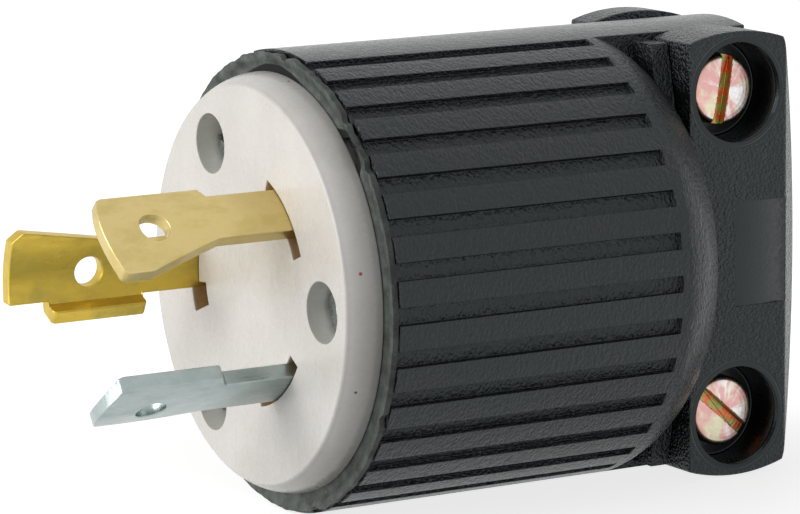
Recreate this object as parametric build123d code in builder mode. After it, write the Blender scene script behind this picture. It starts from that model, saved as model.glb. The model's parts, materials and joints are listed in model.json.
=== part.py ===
from build123d import *
from math import asin, cos, degrees, radians, sin, sqrt, tan
import os

# Locking power plug with a two jaw cord clamp. Millimetres.
# The origin is the centre of the mating face and +X runs back along the plug to the cord end.
# The heads of the clamp screws face -Y and +Z is up.
# Angles about the plug's axis are counted in the YZ plane from +Y towards +Z.

os.makedirs("parts", exist_ok=True)

# Face body, the light moulding that carries the blades
flange_step = 2.2
flange_thickness = 3.6
flange_rounding = 1.4
spigot_depth = 7.4
spigot_clearance = 0.2

# Dust seal between the flange and the shell
seal_thickness = 0.6
seal_setback = 0.2
seal_bore_clearance = 0.1
seal_nick_radius = 0.7
seal_nick_angles = [71, 96, 128, 143, 207, 252]

# Shell
body_radius = 23.5
shell_wall = 2.5
shell_edge_rounding = 0.4
straight_end = 38.0
dome_end = 45.6
dome_end_radius = 12.7
dome_bulge = 2.4
dome_wall = 2.4
cord_hole_radius = 8.5

# Grip flutes on the two sides of the shell
flute_positions = 34
flutes_per_side = 15
flute_width = 1.7
flute_depth = 0.55
flute_end = 36.9

# Web on the top and the bottom of the shell, which carries the clamp
web_width = 10.6
lug_inner = 10.5
lug_end = 56.8
stop_rib_thickness = 2.1
stop_rib_setback = 0.2
stop_rib_half_width_tip = 8.8
stop_rib_half_width_root = 11.2

# Clamp jaws
jaw_face = 12.57
jaw_front = 45.0
jaw_back = 57.0
jaw_end_setback = 0.15
jaw_end_rounding = 0.95
jaw_back_bulge = 3.4
jaw_tongue_bulge = 2.6
jaw_bevel_depth = 2.7
jaw_seat_gap = 0.2
jaw_tongue_half_width = 9.3
jaw_tongue_face = 3.0
jaw_dome_clearance = 0.2
jaw_edge_rounding = 0.3
cord_grip_radius = 4.6
grip_groove_radius = 5.3
grip_groove_width = 1.4
grip_groove_pitch = 3.0
grip_groove_count = 3
bare_pad_length = 6.35
bare_pad_height = 11.0
bare_pad_depth = 0.15
far_jaw_gap = 0.45
far_jaw_lift = 0.4

# Clamp screws and nuts
clamp_screw_x = 50.95
clamp_screw_from_end = 6.35
clamp_screw_radius = 2.08
clamp_head_radius = 3.7
clamp_head_height = 2.0
clamp_head_sink = 2.5
clamp_slot_angles = {"upper": 80, "lower": -41}
clamp_hole_clearance = 0.3
counterbore_radius = 5.0
counterbore_chamfer = 0.4
clamp_screw_length = 19.8
nut_across_flats = 8.7
nut_thickness = 3.2
nut_pocket_clearance = 0.15
nut_pocket_depth = 2.4
thread_clearance = 0.04
screw_slot_share = 0.35
screw_slot_depth = 1.0
screw_head_rounding = 0.7
screw_point_chamfer = 0.5

# Assembly screws through the face
face_screw_edge = 5.4
face_screw_angles = [61.3, 181.3, 301.3]
face_slot_angles = [20, 75, 130]
face_screw_radius = 1.75
face_screw_clearance = 0.3
face_head_radius = 2.75
face_head_height = 1.8
face_head_sink = 2.0
face_well_radius = 3.05
face_screw_length = 29.0
insert_radius = 2.9
insert_length = 8.0
insert_groove_depth = 0.35
insert_groove_width = 1.4
boss_wall = 1.5
boss_rib_width = 3.0
boss_end_wall = 1.6

# Blades: stamped strips on one circle, each with a locking shoulder on one side
blade_circle = 12.1
blade_thickness = 1.5
blade_half_width = 4.5
blade_neck_high = 3.3
blade_neck_low = 2.0
blade_reach = 19.2
blade_tip_bulge = 0.8
blade_tip_rounding = 0.9
blade_tip_bevel = 0.5
blade_shoulder = 7.9
blade_shoulder_slant = 0.5
blade_head_land = 3.4
blade_hole_radius = 1.55
blade_hole_from_tip = 4.8
blade_slot_clearance = 0.2
line_blade_angle = 135.0
neutral_blade_angle = 235.5
neutral_blade_trim = 0.3

# Ground blade: longer, and its lower edge is folded in as a hook
ground_blade_angle = 6.0
ground_reach = 21.3
ground_half_width = 5.0
ground_neck_top = 2.6
ground_neck_low = 2.8
ground_front_low = 2.65
ground_crease = 4.0
ground_tip_chamfer = 1.0
ground_shoulder = 6.5
ground_head_land = 1.3
ground_flap_setback = 4.3
ground_flap_reach = 1.5
ground_flap_bend = 50.0
ground_hole_from_tip = 8.9

# Terminals behind the face
tab_half_width = 5.3
tab_play = 0.05
tab_end = 25.0
terminal_screw_x = 18.5
terminal_screw_radius = 2.0
terminal_head_radius = 3.6
terminal_head_height = 2.1
terminal_hole_clearance = 0.2
clamp_plate_size = 8.4
clamp_plate_thickness = 1.8
wire_gap = 0.9
terminal_screw_tip = 5.9

# Terminal block, the dark insulator between the terminals
block_play = 0.05
block_side_clearance = 0.8
block_front_wall = 1.7
block_back_wall = 1.6
block_length = 15.7
chamber_width = 11.2
chamber_floor = 5.4
wire_hole_radius = 2.6

# Places worked out from the sizes above
flange_radius = body_radius - flange_step
shell_front = flange_thickness + seal_thickness
shell_bore = body_radius - shell_wall
spigot_radius = shell_bore - spigot_clearance
spigot_end = flange_thickness + spigot_depth
block_start = spigot_end + block_play
block_end = block_start + block_length
boss_start = block_end + block_play
flute_pitch = 360 / flute_positions
web_half = web_width / 2
ear_seat = web_half + jaw_seat_gap
jaw_crown = body_radius - jaw_end_setback
jaw_corner = jaw_crown - jaw_end_rounding
stop_rib_tip = jaw_corner - stop_rib_setback
screw_z = jaw_crown - clamp_screw_from_end
clamp_seat = jaw_face - clamp_head_sink - clamp_head_height
far_jaw_face = jaw_face - clamp_head_sink
nut_seat = far_jaw_face - nut_pocket_depth
blade_inner = blade_circle - blade_thickness
plate_top = blade_inner - wire_gap
plate_bottom = plate_top - clamp_plate_thickness
blade_flare_end = blade_reach - blade_head_land
blade_hole_x = blade_hole_from_tip - blade_reach
ground_flare_end = ground_reach - ground_head_land
ground_flap_front = ground_reach - ground_flap_setback
ground_hole_x = ground_hole_from_tip - ground_reach
face_screw_circle = spigot_radius - face_screw_edge
block_radius = shell_bore - block_side_clearance
face_screw_seat = face_head_sink + face_head_height
boss_radius = insert_radius + boss_wall
cavity_end = dome_end - dome_wall
stop_rib_back = jaw_front - jaw_dome_clearance
overcut = 1.0


def plane_at(angle):
    """Plane whose x runs back along the plug and whose normal points out at an angle."""
    return Plane(origin=(0, 0, 0), x_dir=(1, 0, 0), z_dir=(0, cos(radians(angle)), sin(radians(angle))))


def arc_band(inner, outer, start, end):
    """Ring segment about the plug's axis between two angles."""
    with BuildSketch() as band:
        with BuildLine():
            low = CenterArc((0, 0), inner, start, end - start)
            high = CenterArc((0, 0), outer, start, end - start)
            Line(low @ 0, high @ 0)
            Line(low @ 1, high @ 1)
        make_face()
    return band.sketch


def dome_profile(radius, start, end, end_radius, front):
    """Half of the section of a sleeve that closes in a dome, from the axis outwards."""
    with BuildSketch() as profile:
        with BuildLine():
            Polyline((front, 0), (front, radius), (start, radius))
            SagittaArc((start, radius), (end, end_radius), dome_bulge)
            Polyline((end, end_radius), (end, 0), (front, 0))
        make_face()
    return profile.sketch


def half_angle(half_width, radius):
    """Angle at the axis that spans half of a width at a radius."""
    return degrees(asin(half_width / radius))


def slotted_screw(seat, head_radius, head_height, shank_radius, length, slot_angle=0):
    """Slotted pan head screw. The seat plane faces out of the head and the shank runs the other way."""
    up = Axis(seat.origin, seat.z_dir)
    slot_width = head_radius * screw_slot_share
    with BuildPart() as screw:
        with BuildSketch(seat):
            Circle(head_radius)
        extrude(amount=head_height)
        fillet(screw.faces().sort_by(up)[-1].edges(), screw_head_rounding)
        with BuildSketch(seat):
            Circle(shank_radius)
        extrude(amount=-length)
        with BuildSketch(seat.offset(head_height)):
            Rectangle(2 * head_radius + overcut, slot_width, rotation=slot_angle)
        extrude(amount=-screw_slot_depth, mode=Mode.SUBTRACT)
        chamfer(screw.faces().sort_by(up)[0].edges(), screw_point_chamfer)
    return screw.part


# Face body
slot_outer = blade_circle + blade_slot_clearance
slot_inner = blade_inner - blade_slot_clearance
plain_slot_half = half_angle(blade_half_width + blade_slot_clearance, blade_circle)
ground_slot_low = ground_blade_angle - half_angle(ground_crease + blade_thickness, blade_circle)
ground_slot_high = ground_blade_angle + half_angle(ground_half_width + blade_slot_clearance, blade_circle)

with BuildPart() as face_body:
    with BuildSketch(Plane.YZ):
        Circle(flange_radius)
    extrude(amount=flange_thickness)
    fillet(face_body.edges().filter_by(GeomType.CIRCLE).sort_by(Axis.X)[0], flange_rounding)
    with BuildSketch(Plane.YZ.offset(flange_thickness)):
        Circle(spigot_radius)
    extrude(amount=spigot_depth)
    with BuildSketch(Plane.YZ):
        for angle in (line_blade_angle, neutral_blade_angle):
            add(arc_band(slot_inner, slot_outer, angle - plain_slot_half, angle + plain_slot_half))
        add(arc_band(slot_inner, slot_outer, ground_slot_low, ground_slot_high))
    extrude(amount=spigot_end, mode=Mode.SUBTRACT)
    # The hook of the ground blade drops in through a wider end of its slot
    with BuildSketch(Plane.YZ):
        add(
            arc_band(
                slot_inner - ground_flap_reach,
                slot_outer,
                ground_slot_low,
                ground_slot_low + half_angle(2 * blade_thickness, blade_circle),
            )
        )
    extrude(amount=spigot_end, mode=Mode.SUBTRACT)
    for angle in face_screw_angles:
        place = (face_screw_circle * cos(radians(angle)), face_screw_circle * sin(radians(angle)))
        with BuildSketch(Plane.YZ):
            with Locations(place):
                Circle(face_well_radius)
        extrude(amount=face_screw_seat, mode=Mode.SUBTRACT)
        with BuildSketch(Plane.YZ):
            with Locations(place):
                Circle(face_screw_radius + face_screw_clearance)
        extrude(amount=spigot_end, mode=Mode.SUBTRACT)

face_body.part.label = "face_body"
export_step(face_body.part, "parts/face_body.step")

# Dust seal, a thin ring round the spigot whose outer edge is nicked
seal_radius = body_radius - seal_setback
with BuildPart() as dust_seal:
    with BuildSketch(Plane.YZ.offset(flange_thickness)):
        Circle(seal_radius)
        Circle(spigot_radius + seal_bore_clearance, mode=Mode.SUBTRACT)
        for angle in seal_nick_angles:
            with PolarLocations(seal_radius + seal_nick_radius / 2, 1, start_angle=angle):
                Circle(seal_nick_radius, mode=Mode.SUBTRACT)
    extrude(amount=seal_thickness)

dust_seal.part.label = "dust_seal"
export_step(dust_seal.part, "parts/dust_seal.step")

# Shell: fluted sleeve, domed shoulder, and the web that carries the clamp
side_span = (flutes_per_side - 1) * flute_pitch

with BuildPart() as shell:
    with BuildSketch(Plane.XY):
        add(dome_profile(body_radius, straight_end, dome_end, dome_end_radius, shell_front))
    revolve(axis=Axis.X)
    fillet(shell.edges().filter_by(GeomType.CIRCLE).sort_by(Axis.X)[0], shell_edge_rounding)
    # Web and lugs, flush with the outside of the sleeve
    with BuildSketch(Plane.YZ.offset(straight_end - shell_wall)):
        Circle(body_radius)
        Rectangle(web_width, 2 * body_radius, mode=Mode.INTERSECT)
        Rectangle(web_width, 2 * lug_inner, mode=Mode.SUBTRACT)
    extrude(amount=lug_end - straight_end + shell_wall)
    # Stop ribs that the jaws butt against
    with BuildSketch(Plane.YZ.offset(stop_rib_back - stop_rib_thickness)):
        with BuildLine():
            Polyline(
                (-stop_rib_half_width_tip, stop_rib_tip),
                (stop_rib_half_width_tip, stop_rib_tip),
                (stop_rib_half_width_root, lug_inner),
                (-stop_rib_half_width_root, lug_inner),
                close=True,
            )
        make_face()
        mirror(about=Plane.XZ)
    extrude(amount=stop_rib_thickness)
    # Hollow for the face, the terminals and the wires
    with BuildSketch(Plane.XY):
        add(
            dome_profile(
                shell_bore,
                straight_end - shell_wall / 2,
                cavity_end,
                dome_end_radius - shell_wall / 2,
                shell_front - overcut,
            )
        )
    revolve(axis=Axis.X, mode=Mode.SUBTRACT)
    with BuildSketch(Plane.YZ.offset(cavity_end - overcut)):
        Circle(cord_hole_radius)
    extrude(amount=dome_wall + 2 * overcut, mode=Mode.SUBTRACT)
    # Flutes on both sides, open at the front edge
    with BuildSketch(Plane.YZ.offset(shell_front)):
        for side in (0, 180):
            with PolarLocations(
                body_radius,
                flutes_per_side,
                start_angle=side - side_span / 2,
                angular_range=side_span,
                endpoint=True,
            ):
                Rectangle(2 * flute_depth, flute_width)
    extrude(amount=flute_end - shell_front, mode=Mode.SUBTRACT)
    # Screw bosses inside, each tied to the wall by a rib
    for angle in face_screw_angles:
        with BuildSketch(Plane.YZ.offset(boss_start)):
            with PolarLocations(face_screw_circle, 1, start_angle=angle):
                Circle(boss_radius)
            with PolarLocations((face_screw_circle + shell_bore + shell_wall / 2) / 2, 1, start_angle=angle):
                Rectangle(shell_bore + shell_wall / 2 - face_screw_circle, boss_rib_width)
        extrude(amount=straight_end - boss_start)
        with BuildSketch(Plane.YZ.offset(boss_start)):
            with PolarLocations(face_screw_circle, 1, start_angle=angle):
                Circle(insert_radius)
        extrude(amount=insert_length + boss_end_wall, mode=Mode.SUBTRACT)
    # Holes for the clamp screws through the lugs
    with BuildSketch(Plane.XZ):
        with Locations((clamp_screw_x, screw_z), (clamp_screw_x, -screw_z)):
            Circle(clamp_screw_radius + clamp_hole_clearance)
    extrude(amount=web_width, both=True, mode=Mode.SUBTRACT)

shell.part.label = "shell"
export_step(shell.part, "parts/shell.step")

# Clamp jaws. Both start from one blank on the -Y side.
screw_places = [(clamp_screw_x, screw_z), (clamp_screw_x, -screw_z)]
tongue_front = dome_end + jaw_dome_clearance
jaw_back_corner = jaw_back - jaw_dome_clearance


def jaw_blank(face, lift=0):
    """Jaw on the -Y side, out to a face, its ears raised by a lift over its screw holes."""
    with BuildPart() as blank:
        with BuildSketch(Plane(origin=(0, -ear_seat, lift), x_dir=(1, 0, 0), z_dir=(0, -1, 0))):
            with BuildLine():
                Line((jaw_front, -jaw_corner), (jaw_front, jaw_corner))
                ThreePointArc(
                    (jaw_front, jaw_corner),
                    (clamp_screw_x, jaw_crown),
                    (jaw_back_corner, jaw_corner),
                )
                ThreePointArc(
                    (jaw_back_corner, jaw_corner),
                    (jaw_back + jaw_back_bulge, 0),
                    (jaw_back_corner, -jaw_corner),
                )
                ThreePointArc(
                    (jaw_back_corner, -jaw_corner),
                    (clamp_screw_x, -jaw_crown),
                    (jaw_front, -jaw_corner),
                )
            make_face()
        extrude(amount=face - ear_seat)
        # Tongue between the lugs, down to the cord
        with BuildSketch(Plane.XZ.offset(jaw_tongue_face)):
            with BuildLine():
                Polyline(
                    (jaw_back_corner, jaw_tongue_half_width),
                    (tongue_front, jaw_tongue_half_width),
                    (tongue_front, -jaw_tongue_half_width),
                    (jaw_back_corner, -jaw_tongue_half_width),
                )
                ThreePointArc(
                    (jaw_back_corner, -jaw_tongue_half_width),
                    (jaw_back + jaw_tongue_bulge, 0),
                    (jaw_back_corner, jaw_tongue_half_width),
                )
            make_face()
        extrude(amount=ear_seat - jaw_tongue_face)
        # Bevel where the outer face meets the rounded back
        with BuildSketch(Plane.XY.offset(-jaw_crown - overcut)):
            with BuildLine():
                Polyline(
                    (jaw_back, -face),
                    (jaw_back + jaw_back_bulge, -face + jaw_bevel_depth),
                    (jaw_back + 2 * jaw_back_bulge, -face + jaw_bevel_depth),
                    (jaw_back + 2 * jaw_back_bulge, -face - overcut),
                    (jaw_back, -face - overcut),
                    close=True,
                )
            make_face()
        extrude(amount=2 * (jaw_crown + overcut), mode=Mode.SUBTRACT)
        # Soft edges round the outer face
        outer_face = blank.faces().sort_by(Axis.Y)[0]
        fillet(outer_face.edges(), jaw_edge_rounding)
        # Hollowed front that follows the dome of the shell
        with BuildSketch(Plane.XY):
            add(
                dome_profile(
                    body_radius + jaw_dome_clearance,
                    straight_end,
                    dome_end + jaw_dome_clearance,
                    dome_end_radius + jaw_dome_clearance,
                    shell_front,
                )
            )
        revolve(axis=Axis.X, mode=Mode.SUBTRACT)
        # Round grip for the cord, with cross grooves
        with BuildSketch(Plane.YZ.offset(dome_end)):
            Circle(cord_grip_radius)
        extrude(amount=2 * (jaw_back - dome_end), mode=Mode.SUBTRACT)
        for step in range(grip_groove_count):
            groove_start = tongue_front + (step + 0.5) * grip_groove_pitch
            with BuildSketch(Plane.YZ.offset(groove_start)):
                Circle(grip_groove_radius)
            extrude(amount=grip_groove_width, mode=Mode.SUBTRACT)
        with BuildSketch(Plane.XZ):
            with Locations(*screw_places):
                Circle(clamp_screw_radius + clamp_hole_clearance)
        extrude(amount=face + overcut, mode=Mode.SUBTRACT)
    return blank.part


with BuildPart() as clamp_jaw_near:
    add(jaw_blank(jaw_face))
    with BuildSketch(Plane.XZ.offset(clamp_seat)):
        with Locations(*screw_places):
            Circle(counterbore_radius)
    extrude(amount=jaw_face, mode=Mode.SUBTRACT)
    rims = clamp_jaw_near.edges().filter_by(GeomType.CIRCLE).filter_by(
        lambda edge: abs(edge.radius - counterbore_radius) < 0.01
    )
    chamfer(rims.group_by(Axis.Y)[0], counterbore_chamfer)
    # Shallow bare pad in the textured outer face
    with BuildSketch(Plane.XZ.offset(jaw_face - bare_pad_depth)):
        with Locations((jaw_back - bare_pad_length / 2, 0)):
            Rectangle(bare_pad_length, bare_pad_height)
    extrude(amount=bare_pad_depth + overcut, mode=Mode.SUBTRACT)

clamp_jaw_near.part.label = "clamp_jaw_near"
export_step(clamp_jaw_near.part, "parts/clamp_jaw_near.step")

# The far jaw is thinner, stands a little off the lugs and holds the nuts
with BuildPart() as clamp_jaw_far:
    add(mirror(jaw_blank(far_jaw_face, far_jaw_lift), about=Plane.XZ, mode=Mode.PRIVATE))
    with BuildSketch(Plane.XZ.offset(-ear_seat)):
        Rectangle(4 * jaw_back, 4 * jaw_crown)
        Rectangle(4 * jaw_back, 2 * jaw_tongue_half_width, mode=Mode.SUBTRACT)
    extrude(amount=-far_jaw_gap, mode=Mode.SUBTRACT)
    with BuildSketch(Plane.XZ.offset(-nut_seat)):
        with Locations(*screw_places):
            RegularPolygon(nut_across_flats / 2 + nut_pocket_clearance, 6, major_radius=False)
    extrude(amount=-jaw_face, mode=Mode.SUBTRACT)

clamp_jaw_far.part.label = "clamp_jaw_far"
export_step(clamp_jaw_far.part, "parts/clamp_jaw_far.step")

# Clamp screws and their nuts
for place, side in (("upper", 1), ("lower", -1)):
    seat = Plane(origin=(clamp_screw_x, -clamp_seat, side * screw_z), x_dir=(1, 0, 0), z_dir=(0, -1, 0))
    clamp_screw = slotted_screw(
        seat,
        clamp_head_radius,
        clamp_head_height,
        clamp_screw_radius,
        clamp_screw_length,
        clamp_slot_angles[place],
    )
    clamp_screw.label = "clamp_screw_" + place
    export_step(clamp_screw, "parts/clamp_screw_" + place + ".step")

    nut_plane = Plane(origin=(clamp_screw_x, nut_seat, side * screw_z), x_dir=(1, 0, 0), z_dir=(0, 1, 0))
    with BuildPart() as clamp_nut:
        with BuildSketch(nut_plane):
            RegularPolygon(nut_across_flats / 2, 6, major_radius=False)
            Circle(clamp_screw_radius + thread_clearance, mode=Mode.SUBTRACT)
        extrude(amount=nut_thickness)
    clamp_nut.part.label = "clamp_nut_" + place
    export_step(clamp_nut.part, "parts/clamp_nut_" + place + ".step")

# Terminal block: three chambers round a core, with walls before and behind
blade_angles = {"line": line_blade_angle, "neutral": neutral_blade_angle, "ground": ground_blade_angle}
tab_slot_height = blade_thickness + 2 * blade_slot_clearance
chamber_start = block_start + block_front_wall
chamber_end = block_end - block_back_wall
wire_height = (blade_inner + plate_top) / 2

with BuildPart() as terminal_block:
    with BuildSketch(Plane.YZ.offset(block_start)):
        Circle(block_radius)
    extrude(amount=block_length)
    for angle in blade_angles.values():
        with BuildSketch(Plane.YZ.offset(chamber_start)):
            with PolarLocations(chamber_floor + body_radius / 2, 1, start_angle=angle):
                Rectangle(body_radius, chamber_width)
        extrude(amount=chamber_end - chamber_start, mode=Mode.SUBTRACT)
        with BuildSketch(Plane.YZ.offset(block_start)):
            with PolarLocations((blade_circle + blade_inner) / 2, 1, start_angle=angle):
                Rectangle(tab_slot_height, 2 * (tab_half_width + blade_slot_clearance))
        extrude(amount=block_front_wall, mode=Mode.SUBTRACT)
        with BuildSketch(Plane.YZ.offset(chamber_end)):
            with PolarLocations(wire_height, 1, start_angle=angle):
                Circle(wire_hole_radius)
        extrude(amount=block_back_wall, mode=Mode.SUBTRACT)
    with BuildSketch(Plane.YZ.offset(block_start)):
        for angle in face_screw_angles:
            with PolarLocations(face_screw_circle, 1, start_angle=angle):
                Circle(face_screw_radius + face_screw_clearance)
    extrude(amount=block_length, mode=Mode.SUBTRACT)

terminal_block.part.label = "terminal_block"
export_step(terminal_block.part, "parts/terminal_block.step")

# Blades, each with a flat tab behind the face for its terminal
tab_start = spigot_end + tab_play
tab_middle = (blade_circle + blade_inner) / 2


def terminal_tab(angle):
    """Flat tab behind the face, with the hole for its terminal screw."""
    with BuildPart() as tab:
        with BuildSketch(Plane.YZ.offset(tab_start)):
            with PolarLocations(tab_middle, 1, start_angle=angle):
                Rectangle(blade_thickness, 2 * tab_half_width)
        extrude(amount=tab_end - tab_start)
        with BuildSketch(plane_at(angle)):
            with Locations((terminal_screw_x, 0)):
                Circle(terminal_screw_radius + terminal_hole_clearance)
        extrude(amount=body_radius, mode=Mode.SUBTRACT)
    return tab.part


def plain_blade(angle, half_width):
    """Blade with a square locking shoulder on one side and a long flare on the other."""
    outward = plane_at(angle)
    span = half_angle(half_width, blade_circle) + overcut
    with BuildPart() as blade:
        with BuildSketch(Plane.YZ.offset(-blade_reach - blade_tip_bulge)):
            add(arc_band(blade_inner, blade_circle, angle - span, angle + span))
        extrude(amount=blade_reach + blade_tip_bulge + tab_start)
        with BuildSketch(outward) as outline:
            with BuildLine():
                Polyline(
                    (-blade_reach, half_width),
                    (-blade_shoulder, half_width),
                    (-blade_shoulder + blade_shoulder_slant, blade_neck_high),
                    (tab_start, blade_neck_high),
                    (tab_start, -blade_neck_low),
                    (-blade_shoulder, -blade_neck_low),
                    (-blade_flare_end, -half_width),
                    (-blade_reach, -half_width),
                )
                ThreePointArc(
                    (-blade_reach, -half_width),
                    (-blade_reach - blade_tip_bulge, 0),
                    (-blade_reach, half_width),
                )
            make_face()
            fillet(outline.vertices().sort_by(Axis.X)[:2], blade_tip_rounding)
        extrude(amount=2 * blade_circle, mode=Mode.INTERSECT)
        # Lead-in bevel on the inner side of the tip
        inner_face = blade.faces().filter_by(lambda face: face.geom_type == GeomType.CYLINDER).sort_by(
            lambda face: face.center().dot(outward.z_dir)
        )[0]
        chamfer(inner_face.edges().sort_by(Axis.X)[0], blade_tip_bevel)
        with BuildSketch(outward):
            with Locations((blade_hole_x, 0)):
                Circle(blade_hole_radius)
        extrude(amount=2 * blade_circle, mode=Mode.SUBTRACT)
        add(terminal_tab(angle))
    return blade.part


blade_line = plain_blade(line_blade_angle, blade_half_width)
blade_line.label = "blade_line"
export_step(blade_line, "parts/blade_line.step")

blade_neutral = plain_blade(neutral_blade_angle, blade_half_width - neutral_blade_trim)
blade_neutral.label = "blade_neutral"
export_step(blade_neutral, "parts/blade_neutral.step")

# Ground blade: a longer strip whose lower edge is folded in as the locking hook
ground_outward = plane_at(ground_blade_angle)
crease_angle = ground_blade_angle - half_angle(ground_crease, blade_circle)
fold_run = blade_thickness * tan(radians(ground_flap_bend / 2))
fold_sag = blade_circle - sqrt(blade_circle**2 - fold_run**2)
flap_along = Vector(-sin(radians(ground_flap_bend)), -cos(radians(ground_flap_bend)))
flap_inward = Vector(-cos(radians(ground_flap_bend)), sin(radians(ground_flap_bend)))
flap_outer = flap_along * (ground_flap_reach + fold_run)
flap_inner = flap_outer + flap_inward * blade_thickness

with BuildPart() as blade_ground:
    with BuildSketch(Plane.YZ.offset(-ground_reach)):
        add(
            arc_band(
                blade_inner,
                blade_circle,
                crease_angle + half_angle(fold_run, blade_circle),
                ground_blade_angle + half_angle(ground_half_width + blade_thickness, blade_circle),
            )
        )
    extrude(amount=ground_reach + tab_start)
    with BuildSketch(ground_outward):
        with BuildLine():
            Polyline(
                (-ground_reach, -ground_half_width + ground_tip_chamfer),
                (-ground_reach + ground_tip_chamfer, -ground_half_width),
                (-ground_flare_end, -ground_half_width),
                (-ground_shoulder, -ground_neck_top),
                (tab_start, -ground_neck_top),
                (tab_start, ground_neck_low),
                (-ground_shoulder, ground_neck_low),
                (-ground_shoulder, ground_crease),
                (-ground_flap_front, ground_crease),
                (-ground_flap_front, ground_front_low),
                (-ground_reach, ground_front_low),
                close=True,
            )
        make_face()
    extrude(amount=2 * blade_circle, mode=Mode.INTERSECT)
    with BuildSketch(Plane.YZ.offset(-ground_flap_front)):
        with PolarLocations(blade_circle, 1, start_angle=crease_angle):
            Polygon(
                (0, 0),
                (flap_outer.X, flap_outer.Y),
                (flap_inner.X, flap_inner.Y),
                (-blade_thickness, fold_run),
                (-fold_sag, fold_run),
                align=None,
            )
    extrude(amount=ground_flap_front - ground_shoulder)
    with BuildSketch(ground_outward):
        with Locations((ground_hole_x, 0)):
            Circle(blade_hole_radius)
    extrude(amount=2 * blade_circle, mode=Mode.SUBTRACT)
    add(terminal_tab(ground_blade_angle))

blade_ground.part.label = "blade_ground"
export_step(blade_ground.part, "parts/blade_ground.step")

# Terminal screws and the plates that grip the wires under the tabs
for terminal, angle in blade_angles.items():
    out = plane_at(angle)
    screw_axis = out.offset(blade_circle)
    screw_axis.origin += Vector(terminal_screw_x, 0, 0)
    terminal_screw = slotted_screw(
        screw_axis,
        terminal_head_radius,
        terminal_head_height,
        terminal_screw_radius,
        blade_circle - terminal_screw_tip,
    )
    terminal_screw.label = "terminal_screw_" + terminal
    export_step(terminal_screw, "parts/terminal_screw_" + terminal + ".step")

    with BuildPart() as terminal_clamp:
        with BuildSketch(out.offset(plate_bottom)):
            with Locations((terminal_screw_x, 0)):
                Rectangle(clamp_plate_size, clamp_plate_size)
                Circle(terminal_screw_radius + thread_clearance, mode=Mode.SUBTRACT)
        extrude(amount=clamp_plate_thickness)
    terminal_clamp.part.label = "terminal_clamp_" + terminal
    export_step(terminal_clamp.part, "parts/terminal_clamp_" + terminal + ".step")

# Assembly screws and the threaded inserts they pull on
for number, angle in enumerate(face_screw_angles, 1):
    across = face_screw_circle * cos(radians(angle))
    up = face_screw_circle * sin(radians(angle))
    assembly_screw = slotted_screw(
        Plane(origin=(face_screw_seat, across, up), x_dir=(0, 0, 1), z_dir=(-1, 0, 0)),
        face_head_radius,
        face_head_height,
        face_screw_radius,
        face_screw_length,
        face_slot_angles[number - 1],
    )
    assembly_screw.label = "assembly_screw_" + str(number)
    export_step(assembly_screw, "parts/assembly_screw_" + str(number) + ".step")

    with BuildPart() as threaded_insert:
        with BuildSketch(Plane.YZ.offset(boss_start)):
            with Locations((across, up)):
                Circle(insert_radius)
                Circle(face_screw_radius + thread_clearance, mode=Mode.SUBTRACT)
        extrude(amount=insert_length)
        with BuildSketch(Plane.YZ.offset(boss_start + (insert_length - insert_groove_width) / 2)):
            with Locations((across, up)):
                Circle(insert_radius)
                Circle(insert_radius - insert_groove_depth, mode=Mode.SUBTRACT)
        extrude(amount=insert_groove_width, mode=Mode.SUBTRACT)
    threaded_insert.part.label = "threaded_insert_" + str(number)
    export_step(threaded_insert.part, "parts/threaded_insert_" + str(number) + ".step")
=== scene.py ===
"""Looks of a locking power plug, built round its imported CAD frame.

The plug lies along X: its blades point to -X, its cord end to +X, and the heads of its clamp
screws face -Y. Sizes are in millimetres and angles in degrees. An angle round the plug is counted
from +Y towards +Z, as in the CAD source.
"""

import json
import logging
import math
from collections.abc import Callable, Iterator, Sequence
from contextlib import contextmanager
from dataclasses import dataclass, field
from enum import Enum

import bmesh
import bpy
from mathutils import Matrix, Vector

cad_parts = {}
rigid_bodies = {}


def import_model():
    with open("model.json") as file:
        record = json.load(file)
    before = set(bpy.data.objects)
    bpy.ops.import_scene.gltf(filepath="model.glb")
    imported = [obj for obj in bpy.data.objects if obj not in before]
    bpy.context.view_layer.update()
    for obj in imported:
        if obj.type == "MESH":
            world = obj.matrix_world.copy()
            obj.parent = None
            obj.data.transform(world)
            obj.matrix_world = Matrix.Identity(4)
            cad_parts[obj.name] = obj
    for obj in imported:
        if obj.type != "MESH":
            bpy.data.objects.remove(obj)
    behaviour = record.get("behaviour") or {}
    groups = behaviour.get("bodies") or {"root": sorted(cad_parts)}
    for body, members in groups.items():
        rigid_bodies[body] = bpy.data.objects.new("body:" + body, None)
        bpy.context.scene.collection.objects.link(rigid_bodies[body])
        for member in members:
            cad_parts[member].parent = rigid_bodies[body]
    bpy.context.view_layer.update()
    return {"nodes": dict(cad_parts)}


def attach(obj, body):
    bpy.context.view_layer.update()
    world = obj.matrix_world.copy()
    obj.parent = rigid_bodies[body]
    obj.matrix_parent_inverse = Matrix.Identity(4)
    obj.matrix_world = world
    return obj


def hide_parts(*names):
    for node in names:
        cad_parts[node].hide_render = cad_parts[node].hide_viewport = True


MM = 0.001
BODY = "root"
PHOTO_WIDTH = 800
LOG = logging.getLogger("locking_plug")

Point = tuple[float, float]
Rgb = tuple[float, float, float]
Socket = bpy.types.NodeSocket


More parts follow.
